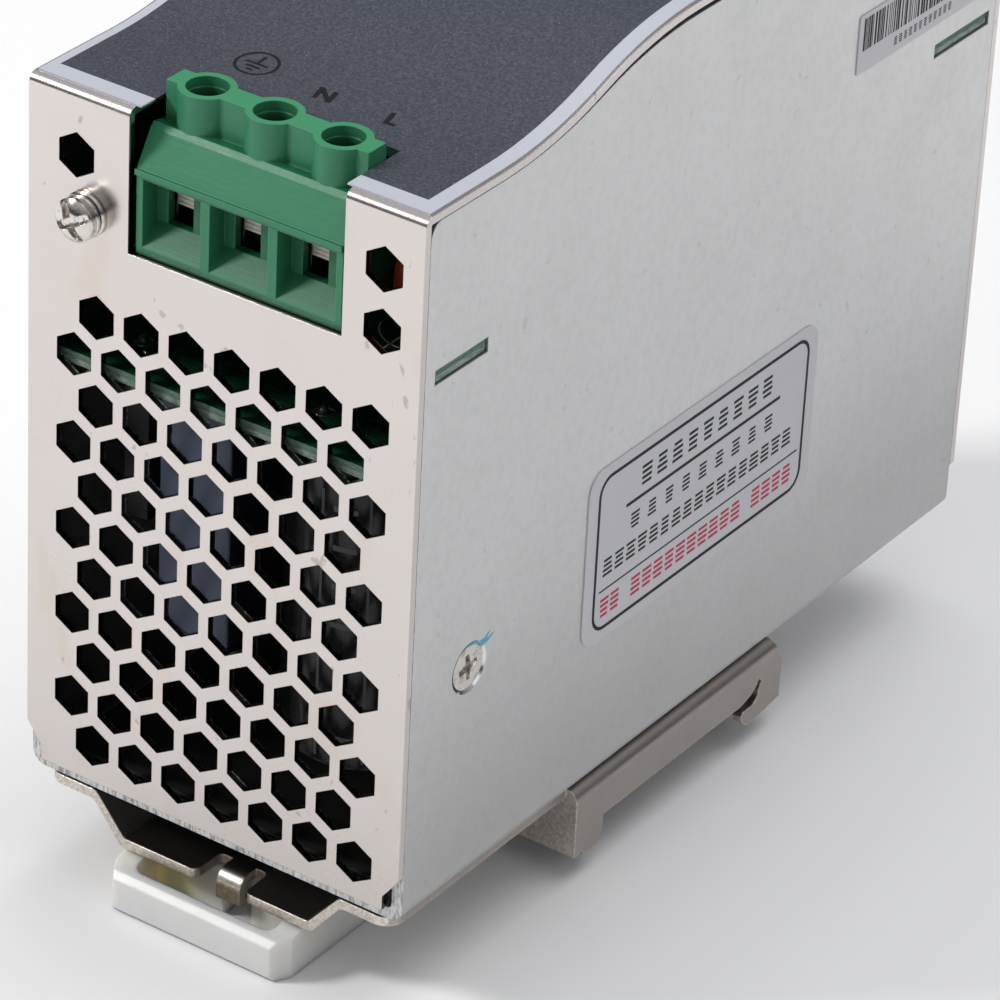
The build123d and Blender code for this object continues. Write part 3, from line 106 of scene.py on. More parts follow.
class Look:
    """A material put together from nodes, with coordinates in millimetres on the part."""

    def __init__(self, name, color, rough, metal=0.0, **sockets):
        self.material = bpy.data.materials.new(name)
        self.material.use_nodes = True
        self.tree = self.material.node_tree
        self.shader = self.tree.nodes["Principled BSDF"]
        self.color = (*color, 1.0)
        self.shader.inputs["Base Color"].default_value = self.color
        self.shader.inputs["Roughness"].default_value = rough
        self.shader.inputs["Metallic"].default_value = metal
        for socket, value in sockets.items():
            self.shader.inputs[socket.replace("_", " ")].default_value = value
        coordinates = self.add("ShaderNodeTexCoord")
        self.normal = coordinates.outputs["Normal"]
        scale = self.add("ShaderNodeVectorMath", operation="SCALE")
        scale.inputs["Scale"].default_value = 1 / MM
        self.join(coordinates.outputs["Object"], scale.inputs[0])
        self.place = scale.outputs[0]
        self.surface = None

    def add(self, kind, **settings):
        node = self.tree.nodes.new(kind)
        for name, value in settings.items():
            setattr(node, name, value)
        return node

    def join(self, source, target):
        """Links a socket, or sets a plain value."""
        if isinstance(source, bpy.types.NodeSocket):
            self.tree.links.new(source, target)
        elif source is not None:
            target.default_value = source

    def stretched(self, x, y, z):
        """Coordinates multiplied along each axis."""
        node = self.add("ShaderNodeVectorMath", operation="MULTIPLY")
        self.join(self.place, node.inputs[0])
        node.inputs[1].default_value = (x, y, z)
        return node.outputs[0]

    def noise(self, scale, where=None, detail=3.0, rough=0.55, seed=0.0):
        node = self.add("ShaderNodeTexNoise", noise_dimensions="4D")
        self.join(where or self.place, node.inputs["Vector"])
        node.inputs["W"].default_value = seed
        node.inputs["Scale"].default_value = scale
        node.inputs["Detail"].default_value = detail
        node.inputs["Roughness"].default_value = rough
        return node.outputs["Fac"]

    def cells(self, scale, where=None, feature="F1"):
        node = self.add("ShaderNodeTexVoronoi", feature=feature)
        self.join(where or self.place, node.inputs["Vector"])
        node.inputs["Scale"].default_value = scale
        return node.outputs["Distance"]

    def math(self, operation, a, b=None, clamp=False):
        node = self.add("ShaderNodeMath", operation=operation, use_clamp=clamp)
        self.join(a, node.inputs[0])
        self.join(b, node.inputs[1])
        return node.outputs[0]

    def band(self, value, low, high, to_low=0.0, to_high=1.0):
        """Maps a value smoothly from low..high onto another range."""
        node = self.add("ShaderNodeMapRange", interpolation_type="SMOOTHSTEP")
        self.join(value, node.inputs["Value"])
        node.inputs["From Min"].default_value = low
        node.inputs["From Max"].default_value = high
        node.inputs["To Min"].default_value = to_low
        node.inputs["To Max"].default_value = to_high
        return node.outputs["Result"]

    def mix(self, factor, a, b):
        node = self.add("ShaderNodeMix", data_type="RGBA")
        self.join(factor, node.inputs["Factor"])
        for value, index in ((a, MIX_COLOR_A), (b, MIX_COLOR_B)):
            if isinstance(value, tuple) and len(value) == 3:
                value = (*value, 1.0)
            self.join(value, node.inputs[index])
        return node.outputs[MIX_COLOR_RESULT]

    def axes(self, vector):
        node = self.add("ShaderNodeSeparateXYZ")
        self.join(vector, node.inputs[0])
        return node.outputs

    def facing(self, axis, sharp=0.9):
        """1 on faces that look along an axis, either way."""
        along = self.math("ABSOLUTE", self.axes(self.normal)["XYZ".index(axis)])
        return self.band(along, sharp - 0.05, sharp + 0.05)

    def distance(self, point):
        """Distance in millimetres from a point, or from a line where a coordinate is None."""
        total = None
        for axis, value in zip(self.axes(self.place), point):
            if value is None:
                continue
            gap = self.math("SUBTRACT", axis, value)
            square = self.math("MULTIPLY", gap, gap)
            total = square if total is None else self.math("ADD", total, square)
        return self.math("SQRT", total)

    def paint(self, factor, color):
        """Covers the colour so far with another one, by a factor."""
        self.color = self.mix(factor, self.color, color)
        self.join(self.color, self.shader.inputs["Base Color"])
        return self

    def roughen(self, source):
        self.join(source, self.shader.inputs["Roughness"])
        return self

    def round_edges(self, radius):
        """Shades sharp edges as if they had a small radius, in millimetres."""
        node = self.add("ShaderNodeBevel", samples=4)
        node.inputs["Radius"].default_value = radius * MM
        self.surface = node.outputs[0]
        self.join(self.surface, self.shader.inputs["Normal"])
        return self

    def worn_edges(self, radius):
        """1 close to a sharp edge, from how far a rounded normal leaves the true one."""
        rounded = self.add("ShaderNodeBevel", samples=4)
        rounded.inputs["Radius"].default_value = radius * MM
        true = self.add("ShaderNodeNewGeometry")
        dot = self.add("ShaderNodeVectorMath", operation="DOT_PRODUCT")
        self.join(rounded.outputs[0], dot.inputs[0])
        self.join(true.outputs["True Normal"], dot.inputs[1])
        return self.band(dot.outputs["Value"], 0.985, 0.80)

    def bump(self, height, depth, strength=1.0):
        """Adds relief of a depth in millimetres."""
        node = self.add("ShaderNodeBump")
        node.inputs["Strength"].default_value = strength
        node.inputs["Distance"].default_value = depth * MM
        self.join(height, node.inputs["Height"])
        if self.surface is not None:
            self.join(self.surface, node.inputs["Normal"])
        self.surface = node.outputs[0]
        self.join(self.surface, self.shader.inputs["Normal"])
        return self


def metal_sheet(name, color, rough, grain=(1.0, 1.0, 1.0), marks=0.3, edge=0.12):
    """Plated or bare sheet: cloudy gloss, fine grain, hairline scratches and dull spots."""
    look = Look(name, color, rough, 1.0)
    look.round_edges(edge)
    cloud = look.noise(0.09, detail=2.0)
    fine = look.noise(3.0, look.stretched(*grain), detail=4.0, rough=0.7)
    scratch = look.noise(1.3, look.stretched(0.9, 0.9, 0.05), detail=5.0, rough=0.8, seed=3.0)
    hair = look.band(scratch, 0.66, 0.70)
    look.paint(look.band(cloud, 0.3, 0.75, 0.0, 0.10), tuple(c * 0.82 for c in color))
    look.paint(look.math("MULTIPLY", hair, marks * 0.5), tuple(c * 0.6 for c in color))
    varied = look.math("ADD", look.band(cloud, 0.3, 0.7, rough * 0.88, rough * 1.15),
                       look.math("MULTIPLY", hair, 0.12))
    look.roughen(look.math("ADD", varied, look.band(fine, 0.3, 0.7, -0.025, 0.025)))
    look.bump(fine, 0.004, 0.35)
    return look


def cover_look():
    """Nickel-plated sheet with tiny rust specks, faint brown stains and vertical hairlines."""
    look = metal_sheet("nickel_cover", (0.668, 0.622, 0.598), 0.23, marks=0.22)
    across, along, up = look.axes(look.place)
    edge = look.band(look.math("ABSOLUTE", across), 24.6, 27.6)
    spots = look.band(look.noise(1.9, detail=6.0, rough=0.75, seed=8.0), 0.70, 0.735)
    rare = look.band(look.noise(0.12, detail=2.0, seed=5.0), 0.46, 0.62)
    where = look.math("MAXIMUM", look.math("MULTIPLY", rare, 0.7), edge)
    look.paint(look.math("MULTIPLY", spots, look.math("MULTIPLY", where, 0.55)), (0.14, 0.07, 0.04))
    stain = look.band(look.noise(0.16, look.stretched(1.0, 1.0, 0.45), detail=3.0, seed=9.0), 0.56, 0.72)
    look.paint(look.math("MULTIPLY", stain, 0.17), (0.55, 0.40, 0.24))
    crack = look.cells(0.11, look.stretched(1.0, 1.0, 0.32), "DISTANCE_TO_EDGE")
    wander = look.noise(0.5, detail=3.0, seed=2.0)
    line = look.band(look.math("ADD", crack, look.band(wander, 0.3, 0.7, 0.0, 0.10)), 0.034, 0.026)
    broken = look.band(look.noise(0.35, detail=2.0, seed=12.0), 0.53, 0.59)
    look.paint(look.math("MULTIPLY", look.math("MULTIPLY", line, broken), 0.45), (0.30, 0.22, 0.17))
    low = look.band(up, BACK + 10, BACK + 1)
    look.paint(look.math("MULTIPLY", low, 0.10), (0.45, 0.40, 0.36))
    # Painted reflection and highlights on the cut walls of the vents and the terminal notch: the walls are
    # painted near black for the dark inside they reflect, the notch keeps its outer 0.3 mm unpainted, and
    # the vent walls get painted glints of light along their back edge.
    _, out, _ = look.axes(look.normal)
    sheet = look.band(look.math("ABSOLUTE", look.math("SUBTRACT", along, MID_Y)), 61.3, 61.5)
    sheet = look.math("MULTIPLY", sheet, look.band(up, FRONT_LOW - 1.6, FRONT_LOW - 2.2))
    sheet = look.math("MULTIPLY", sheet, look.band(look.math("ABSOLUTE", across), 26.6, 26.2))
    vents = look.math("MAXIMUM", look.band(up, TERMINAL_BOARD + 1.9, TERMINAL_BOARD + 1.6),
                      look.band(look.math("ABSOLUTE", across), 18.4, 18.8))
    deep = look.math("ABSOLUTE", look.math("SUBTRACT", along, MID_Y))
    lip = look.math("MAXIMUM", vents, look.band(deep, 62.32, 62.24))
    cut = look.band(look.math("ABSOLUTE", out), 0.3, 0.1)
    wall = look.math("MULTIPLY", cut, look.math("MULTIPLY", sheet, lip))
    painted_glint = look.band(look.noise(2.4, detail=5.0, rough=0.8, seed=15.0), 0.47, 0.55)
    painted_glint = look.math("MULTIPLY", painted_glint, look.math("MULTIPLY", vents, look.band(deep, 61.95, 61.75)))
    look.paint(wall, look.mix(painted_glint, (0.07, 0.06, 0.05), (0.90, 0.86, 0.80)))
    return look


def chassis_look():
    """Matte aluminium sheet with a fine upright grain, rough cut edges and shiny countersinks."""
    base = (0.675, 0.675, 0.672)
    look = metal_sheet("aluminium_case", base, 0.40, (0.9, 0.9, 0.12), marks=0.12, edge=0.15)
    grain = look.noise(6.0, look.stretched(0.7, 0.7, 0.05), detail=3.0, seed=4.0)
    look.paint(look.band(grain, 0.35, 0.75, 0.0, 0.10), (0.50, 0.50, 0.50))
    mottle = look.noise(0.8, detail=4.0, rough=0.65, seed=21.0)
    look.paint(look.band(mottle, 0.40, 0.66, 0.0, 0.22), (0.50, 0.50, 0.495))
    across, _, up = look.axes(look.place)
    # Painted shade: the side walls are painted darker towards the bottom, for the shadowed floor they
    # reflect there.
    low = look.math("MULTIPLY", look.facing("X"), look.band(up, BACK + 46.0, BACK + 4.0, 0.0, 0.39))
    look.paint(low, (0.30, 0.30, 0.30))
    cut = look.facing("Y")
    streak = look.noise(2.2, look.stretched(1.0, 1.0, 0.25), detail=5.0, rough=0.8, seed=7.0)
    look.paint(look.math("MULTIPLY", cut, look.band(streak, 0.45, 0.60, 0.0, 0.85)), (0.20, 0.205, 0.21))
    look.paint(look.math("MULTIPLY", cut, look.band(streak, 0.42, 0.34, 0.0, 0.8)), (0.86, 0.88, 0.90))
    right = look.band(look.distance((None, SIDE_SCREW_Y, SIDE_SCREW_Z)), 3.6, 3.4)
    right = look.math("MULTIPLY", right, look.band(across, -1.0, 1.0))
    left = look.band(look.distance((None, SIDE_SCREW_FAR_Y, SIDE_SCREW_Z)), 3.6, 3.4)
    left = look.math("MULTIPLY", left, look.band(across, 1.0, -1.0))
    sink = look.math("MAXIMUM", right, left)
    dents = look.band(look.noise(0.55, detail=2.0, seed=11.0), 0.69, 0.72)
    look.paint(look.math("MULTIPLY", dents, 0.25), (0.34, 0.34, 0.35))
    rough = look.band(look.noise(0.1, seed=1.0), 0.3, 0.7, 0.37, 0.43)
    rough = look.math("SUBTRACT", rough, look.math("MULTIPLY", sink, 0.22))
    look.roughen(rough)
    look.bump(look.math("MULTIPLY", cut, streak), 0.10, 0.8)
    return look


def bracket_look():
    """Thicker nickel-plated steel, browner, with bright speckled cut edges. Its base colour is kept well
    below the cover's nickel as painted shade, for the shadow under the case.
    """
    base = (0.375, 0.34, 0.315)
    look = metal_sheet("nickel_bracket", base, 0.33, (1.0, 1.0, 1.0), marks=0.2, edge=0.25)
    speck = look.noise(2.6, detail=5.0, rough=0.7, seed=6.0)
    edge = look.math("MAXIMUM", look.worn_edges(0.45), look.math("MULTIPLY", look.facing("Y", 0.75), 0.8))
    look.paint(look.math("MULTIPLY", edge, look.band(speck, 0.40, 0.60, 0.35, 1.0)), (0.84, 0.78, 0.70))
    look.paint(look.band(look.noise(0.35, detail=4.0, seed=2.0), 0.5, 0.75, 0.0, 0.25), (0.34, 0.30, 0.27))
    # Painted reflection: faces that look along Z are painted near black, for the dark underside of the
    # case they reflect.
    look.paint(look.math("MULTIPLY", look.facing("Z"), 0.6), (0.12, 0.11, 0.10))
    look.bump(speck, 0.02, 0.5)
    return look


def film_look():
    """Dark printed film with a pale border, a coarse orange peel and painted glints of light on its
    texture.
    """
    dark = (0.028, 0.032, 0.048)
    look = Look("front_film", dark, 0.42, Specular_IOR_Level=0.55)
    grit = look.noise(2.4, detail=3.0, rough=0.6)
    peel = look.cells(2.6, None, "SMOOTH_F1")
    look.paint(look.band(grit, 0.38, 0.68, 0.0, 0.75), (0.066, 0.073, 0.096))
    # Painted glints: tiny pale specks for light caught by the textured film.
    look.paint(look.band(look.noise(5.0, detail=2.0, seed=3.0), 0.63, 0.72, 0.0, 0.5), (0.30, 0.32, 0.38))
    across, along, _ = look.axes(look.place)
    sides = look.band(look.math("ABSOLUTE", look.math("ADD", across, 0.45)), 25.72, 25.78)
    ends = look.band(look.math("ABSOLUTE", look.math("SUBTRACT", along, MID_Y)), 58.87, 58.93)
    look.paint(look.math("MAXIMUM", sides, ends), (0.485, 0.505, 0.56))
    look.roughen(look.band(grit, 0.3, 0.7, 0.34, 0.52))
    look.bump(peel, 0.05, 0.45)
    look.bump(grit, 0.03, 0.4)
    return look


def side_film_look():
    """Satin silver-white film of the side labels."""
    look = Look("side_film", (0.55, 0.55, 0.58), 0.33, Specular_IOR_Level=0.5)
    look.round_edges(0.06)
    ripple = look.noise(0.12, detail=2.0)
    look.paint(look.band(ripple, 0.3, 0.7, 0.0, 0.25), (0.50, 0.50, 0.535))
    look.roughen(look.band(look.noise(1.2, detail=3.0), 0.3, 0.7, 0.29, 0.38))
    look.bump(ripple, 0.05, 0.3)
    return look


def ink_look(name, color):
    """Printed ink, slightly uneven where the screen left it thin."""
    look = Look(name, color, 0.6, Specular_IOR_Level=0.25)
    thin = look.noise(4.0, detail=4.0, rough=0.7)
    look.paint(look.band(thin, 0.55, 0.75, 0.0, 0.35), tuple(min(1.0, c * 1.8 + 0.01) for c in color))
    look.bump(thin, 0.01, 0.3)
    return look


def moulded(name, color, rough, grain=0.02, edge=0.15, lighter=0.12, **sockets):
    """Moulded plastic with a fine texture, soft edges and pale rubbed spots."""
    look = Look(name, color, rough, **sockets)
    look.round_edges(edge)
    fine = look.noise(2.5, detail=4.0, rough=0.65)
    cloud = look.noise(0.12, detail=2.0, seed=5.0)
    pale = tuple(min(1.0, c * 1.25 + 0.03) for c in color)
    look.paint(look.band(cloud, 0.35, 0.7, 0.0, lighter * 2), pale)
    look.paint(look.band(fine, 0.6, 0.8, 0.0, lighter), pale)
    look.roughen(look.band(fine, 0.3, 0.7, rough * 0.88, rough * 1.12))
    look.bump(fine, grain, 0.5)
    return look


def terminal_look():
    """Green moulding with fine tool lines along X, paler scuffs and dusty specks, with painted light on
    its edges and top faces and painted shade in its tubes, wire mouths and under the mouths.
    """
    green = (0.034, 0.200, 0.102)
    look = moulded("terminal_green", green, 0.36, 0.012, 0.18, 0.04, Specular_IOR_Level=0.32)
    lines = look.noise(2.2, look.stretched(0.10, 0.5, 1.6), detail=4.0, rough=0.7, seed=2.0)
    look.paint(look.band(lines, 0.45, 0.75, 0.0, 0.30), (0.06, 0.27, 0.15))
    # Painted highlight: sharp edges are painted paler green.
    edge = look.worn_edges(0.22)
    look.paint(look.math("MULTIPLY", edge, 0.8), (0.075, 0.36, 0.18))
    across, along, up = look.axes(look.place)
    # Painted light and shade on faces that look along Z: light green on the tube rims, dark green on the
    # lower ledges and floors.
    rims = look.band(up, TERMINAL_BOARD + 20.5, TERMINAL_BOARD + 21.5)
    level = look.mix(rims, (0.010, 0.125, 0.055), (0.046, 0.275, 0.125))
    look.paint(look.math("MULTIPLY", look.facing("Z"), 0.75), level)
    # Painted shade: the insides of the screw tubes are painted dark green.
    for side, first in ((-1, INPUT_X), (1, OUTPUT_X)):
        gap_x = look.math("PINGPONG", look.math("SUBTRACT", across, first), POLE_PITCH / 2)
        gap_y = look.math("SUBTRACT", along, MID_Y + side * TUBE_Y)
        reach = look.math("ADD", look.math("MULTIPLY", gap_x, gap_x), look.math("MULTIPLY", gap_y, gap_y))
        hollow = look.band(look.math("SQRT", reach), 2.56, 2.50)
        sunk = look.band(up, TERMINAL_BOARD + 22.5, TERMINAL_BOARD + 20.0)
        look.paint(look.math("MULTIPLY", look.math("MULTIPLY", hollow, sunk), 0.85), (0.003, 0.050, 0.016))
    # Painted shade: the wire mouths get darker the deeper they go, and their floors are darkened too.
    deep = look.band(look.math("ABSOLUTE", look.math("SUBTRACT", along, MID_Y)), 62.3, 58.6)
    low = look.band(up, TERMINAL_BOARD + 12.3, TERMINAL_BOARD + 11.7)
    look.paint(look.math("MULTIPLY", look.math("MULTIPLY", deep, low), 0.6), (0.012, 0.095, 0.045))
    floor = look.math("MULTIPLY", low, look.math("SUBTRACT", 1.0, look.facing("Y")))
    look.paint(look.math("MULTIPLY", floor, 0.35), (0.012, 0.120, 0.055))
    # Painted shade: the front face below the wire mouths is painted dark green.
    sill = look.band(up, TERMINAL_BOARD + 3.0, TERMINAL_BOARD + 2.5)
    sill = look.math("MULTIPLY", sill, look.facing("Y"))
    look.paint(look.math("MULTIPLY", sill, 0.7), (0.008, 0.070, 0.030))
    dust = look.band(look.noise(1.6, detail=5.0, rough=0.8, seed=13.0), 0.735, 0.76)
    look.paint(look.math("MULTIPLY", dust, 0.5), (0.55, 0.66, 0.60))
    look.bump(lines, 0.03, 0.5)
    return look


def board_look():
    """Green solder mask with tracks under it, and rough glass-fibre edges."""
    look = Look("board_green", (0.008, 0.060, 0.028), 0.28, Specular_IOR_Level=0.5)
    tracks = look.add("ShaderNodeTexBrick", offset=0.35)
    look.join(look.stretched(0.16, 0.07, 0.0), tracks.inputs["Vector"])
    tracks.inputs["Scale"].default_value = 1.6
    tracks.inputs["Mortar Size"].default_value = 0.03
    look.paint(look.math("MULTIPLY", tracks.outputs["Fac"], 0.5), (0.004, 0.030, 0.014))
    look.paint(look.band(look.noise(0.8, detail=3.0), 0.4, 0.7, 0.0, 0.3), (0.012, 0.095, 0.045))
    rim = look.math("SUBTRACT", 1.0, look.facing("Z", 0.7))
    fibre = look.noise(3.0, look.stretched(0.25, 0.25, 2.2), detail=5.0, rough=0.75, seed=4.0)
    _, _, up = look.axes(look.place)
    upper = look.band(up, TERMINAL_BOARD - 0.95, TERMINAL_BOARD - 0.80)
    middle = look.math("MULTIPLY", look.band(up, POWER_BOARD - 0.95, POWER_BOARD - 0.80),
                       look.band(up, TERMINAL_BOARD - 5.0, TERMINAL_BOARD - 6.0))
    look.paint(rim, look.mix(look.band(fibre, 0.35, 0.65), (0.06, 0.13, 0.09), (0.46, 0.53, 0.48)))
    upper = look.math("MULTIPLY", look.math("MAXIMUM", upper, middle), 0.6)
    look.paint(look.math("MULTIPLY", rim, upper), (0.014, 0.090, 0.048))
    look.roughen(look.band(rim, 0.0, 1.0, 0.25, 0.75))
    look.bump(look.math("MULTIPLY", rim, fibre), 0.12, 0.8)
    return look


def nylon_look():
    """Translucent natural nylon, bluish outside, with a painted yellow glow of light through its inner
    walls, strongest at the left end.
    """
    look = Look("natural_nylon", (0.705, 0.705, 0.695), 0.30, Specular_IOR_Level=0.45,
                Subsurface_Weight=0.85, Subsurface_Scale=0.004,
                Subsurface_Radius=(1.0, 0.85, 0.6))
    look.round_edges(0.45)
    across, along, _ = look.axes(look.place)
    _, out, _ = look.axes(look.normal)
    upright = look.band(look.math("ABSOLUTE", out), 0.2, 0.8, 0.25, 1.0)
    # Painted light: a yellow glow for light passing through the inner walls, mostly at the left end.
    inner = look.math("MULTIPLY", look.band(along, NEAR - 0.6, NEAR + 3.0), upright)
    left = look.band(across, -4.0, -8.0, 0.25, 1.0)
    look.paint(look.math("MULTIPLY", inner, left), (1.0, 0.88, 0.52))
    flow = look.noise(0.25, detail=3.0)
    look.paint(look.band(flow, 0.4, 0.7, 0.0, 0.25), (0.72, 0.74, 0.75))
    look.roughen(look.band(look.noise(0.6), 0.3, 0.7, 0.28, 0.34))
    look.bump(look.noise(0.35, detail=1.0), 0.02, 0.25)
    return look


def small_metal(name, color, rough):
    """Plated small parts with fine turning marks and dark spots."""
    look = Look(name, color, rough, 1.0)
    look.round_edges(0.08)
    fine = look.noise(7.0, detail=3.0)
    spots = look.band(look.noise(1.4, detail=5.0), 0.52, 0.75, 0.0, 0.35)
    look.paint(spots, tuple(c * 0.55 for c in color))
    look.roughen(look.band(fine, 0.3, 0.7, rough * 0.8, rough * 1.35))
    look.bump(fine, 0.008, 0.5)
    return look


def fastener_look():
    """Plated screws, bright on top and stained where dirt collects."""
    look = small_metal("fastener_nickel", (0.70, 0.67, 0.63), 0.15)
    stain = look.band(look.noise(1.1, detail=4.0, rough=0.7, seed=17.0), 0.50, 0.66)
    look.paint(look.math("MULTIPLY", stain, 0.6), (0.16, 0.12, 0.08))
    return look


def pin_look():
    """Dull tinned pins and contact bars, with ribs rolled along them. The colour is darkened below plain
    tin as painted shade, and the rib grooves get painted shade lines.
    """
    look = small_metal("pin_metal", (0.36, 0.34, 0.30), 0.36)
    _, _, up = look.axes(look.place)
    ribs = look.math("PINGPONG", up, 0.28)
    # Painted shade: thin dark lines in the rib grooves.
    look.paint(look.band(ribs, 0.10, 0.02, 0.0, 0.6), (0.10, 0.09, 0.08))
    look.bump(ribs, 0.10, 0.6)
    return look


def wire_look():
    """Enamelled copper wire."""
    look = Look("enamelled_wire", (0.50, 0.17, 0.06), 0.25, 0.75, Coat_Weight=0.5)
    look.paint(look.band(look.noise(1.5, detail=3.0), 0.4, 0.7, 0.0, 0.5), (0.62, 0.26, 0.09))
    look.bump(look.noise(6.0), 0.01, 0.4)
    return look


def tape_look():
    """Amber tape with the edges of its layers."""
    look = Look("winding_tape", (0.70, 0.47, 0.06), 0.22, Coat_Weight=0.3)
    _, _, up = look.axes(look.place)
    layers = look.math("PINGPONG", up, 1.5)
    look.paint(look.band(layers, 0.10, 0.02, 0.0, 0.6), (0.40, 0.24, 0.03))
    look.bump(layers, 0.06, 0.4)
    return look


def box_look():
    """Moulded film-capacitor box, with painted shade on the sides that look away from the vents."""
    look = moulded("box_blue_grey", (0.070, 0.090, 0.145), 0.38, 0.03, 0.3)
    look.paint(look.facing("X"), (0.010, 0.012, 0.020))
    return look


def sleeve_look(name, color):
    """Glossy shrink sleeve with long soft ripples and painted sheen along them."""
    look = Look(name, color, 0.18, Specular_IOR_Level=0.30)
    ripple = look.noise(0.7, look.stretched(1.0, 1.0, 0.12), detail=3.0)
    # Painted sheen: paler streaks along the ripples.
    look.paint(look.band(ripple, 0.4, 0.7, 0.0, 0.5), tuple(c * 1.8 + 0.004 for c in color))
    look.roughen(look.band(look.noise(2.0), 0.3, 0.7, 0.14, 0.26))
    look.bump(ripple, 0.06, 0.5)
    return look


def lens_look():
    """Tinted clear lens of the status lamp."""
    look = Look("lamp_green", (0.16, 0.62, 0.20), 0.12, Transmission_Weight=0.6, IOR=1.5)
    look.paint(look.band(look.noise(0.8), 0.4, 0.7, 0.0, 0.4), (0.10, 0.45, 0.14))
    look.bump(look.noise(3.0), 0.01, 0.3)
    return look


LOOKS = {
    "nickel_sheet": cover_look(),
    "case_aluminium": chassis_look(),
    "bracket_steel": bracket_look(),
    "front_film": film_look(),
    "label_film": side_film_look(),
    "fastener": fastener_look(),
    "spring_steel": small_metal("spring_steel", (0.50, 0.49, 0.48), 0.25),
    "natural_nylon": nylon_look(),
    "terminal_green": terminal_look(),
    "terminal_metal": small_metal("terminal_metal", (0.72, 0.70, 0.66), 0.24),
    "board_green": board_look(),
    "brass_part": small_metal("brass_part", (0.72, 0.50, 0.20), 0.24),
    "pin_metal": pin_look(),
    "disc_brown": moulded("disc_brown", (0.25, 0.035, 0.015), 0.25, 0.03, 0.3),
    "disc_black": moulded("disc_black", (0.02, 0.024, 0.02), 0.3, 0.03, 0.3),
    "disc_blue": moulded("disc_blue", (0.03, 0.10, 0.36), 0.28, 0.03, 0.3),
    "fuse_ceramic": moulded("fuse_ceramic", (0.74, 0.71, 0.64), 0.35, 0.01, 0.2),
    "box_blue_grey": box_look(),
    "sleeve_black": sleeve_look("sleeve_black", (0.006, 0.006, 0.007)),
    "moulding_black": moulded("moulding_black", (0.016, 0.016, 0.016), 0.42, 0.02, 0.12),
    "ferrite": moulded("ferrite", (0.03, 0.03, 0.033), 0.55, 0.05, 0.25),
    "powder_core": moulded("powder_core", (0.60, 0.44, 0.03), 0.45, 0.05, 0.4),
    "enamel_wire": wire_look(),
    "winding_tape": tape_look(),
    "heat_aluminium": metal_sheet("heat_aluminium", (0.62, 0.63, 0.64), 0.36, (1.0, 0.06, 1.0)),
    "insulation_film": moulded("insulation_film", (0.014, 0.013, 0.012), 0.5, 0.02, 0.1, 0.05),
    # Painted shade: the cage steel is coloured very dark, for the shade inside the terminal windows.
    "cage_steel": small_metal("cage_steel", (0.17, 0.16, 0.15), 0.34),
    "lamp_green": lens_look(),
    "adjuster_blue": moulded("adjuster_blue", (0.03, 0.11, 0.42), 0.35, 0.02, 0.2),
    "adjuster_white": moulded("adjuster_white", (0.74, 0.71, 0.60), 0.35, 0.02, 0.1),
    "nylon_black": moulded("nylon_black", (0.02, 0.02, 0.02), 0.45, 0.03, 0.15),
}
INK_DARK = ink_look("ink_dark", (0.005, 0.005, 0.007))
INK_BLACK = ink_look("ink_black", (0.016, 0.016, 0.018))
INK_RED = ink_look("ink_red", (0.52, 0.03, 0.09))
INK_WHITE = ink_look("ink_white", (0.62, 0.64, 0.62))
INK_GREY = ink_look("ink_grey", (0.11, 0.115, 0.125))
PAINT_BLUE = ink_look("paint_blue", (0.10, 0.42, 0.58))
SOLDER = small_metal("solder", (0.70, 0.70, 0.70), 0.2)

for row in frame["record"]["subparts"]:
    shape = frame["nodes"][row["node"]]
    shape.data.materials.clear()
    shape.data.materials.append(LOOKS[row["material_slot"]].material)


# ---- building pieces -----------------------------------------------------------------------
def piece(name, shape, look, body=CASE, smooth=None):
    """A mesh object from points in millimetres and faces, riding on a body."""
    points, faces = shape
    mesh = bpy.data.meshes.new(name)
    mesh.from_pydata([[v * MM for v in p] for p in points], [], faces)
    mesh.validate()
    mesh.materials.append(look.material)
    if smooth is not None:
        mesh.shade_smooth()
        mesh.set_sharp_from_angle(angle=math.radians(smooth))
    obj = bpy.data.objects.new(name, mesh)
    bpy.context.scene.collection.objects.link(obj)
    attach(obj, body)
    return obj


def together(*shapes):
    """Several shapes as one."""
    points, faces = [], []
    for more_points, more_faces in shapes:
        start = len(points)
        points += more_points
        faces += [tuple(i + start for i in face) for face in more_faces]
    return points, faces


def moved(shape, matrix):
    """A shape put through a matrix."""
    points, faces = shape
    return [tuple(matrix @ Vector(p)) for p in points], faces


def slab(outline, place, thickness):
    """A thin plate: outline is a list of (u, v), and place turns (u, v, height) into a point."""
    count = len(outline)
    points = [place(u, v, 0.0) for u, v in outline] + [place(u, v, thickness) for u, v in outline]
    sides = [(i, (i + 1) % count, count + (i + 1) % count, count + i) for i in range(count)]
    return points, [tuple(range(count))[::-1], tuple(range(count, 2 * count))] + sides


def bar(u0, v0, u1, v1, width):
    """Outline of a straight stroke."""
    length = math.hypot(u1 - u0, v1 - v0)
    du, dv = (u1 - u0) / length * width / 2, (v1 - v0) / length * width / 2
    return [(u0 - dv, v0 + du), (u0 + dv, v0 - du), (u1 + dv, v1 - du), (u1 - dv, v1 + du)]


def arc_strokes(u, v, radius, start, stop, width, steps):
    """Outlines of the short strokes that make an arc."""
    strokes = []
    for i in range(steps):
        a, b = (start + (stop - start) * k / steps for k in (i, i + 1))
        inner, outer = radius - width / 2, radius + width / 2
        strokes.append([
            (u + inner * math.cos(a), v + inner * math.sin(a)),
            (u + outer * math.cos(a), v + outer * math.sin(a)),
            (u + outer * math.cos(b), v + outer * math.sin(b)),
            (u + inner * math.cos(b), v + inner * math.sin(b)),
        ])
    return strokes


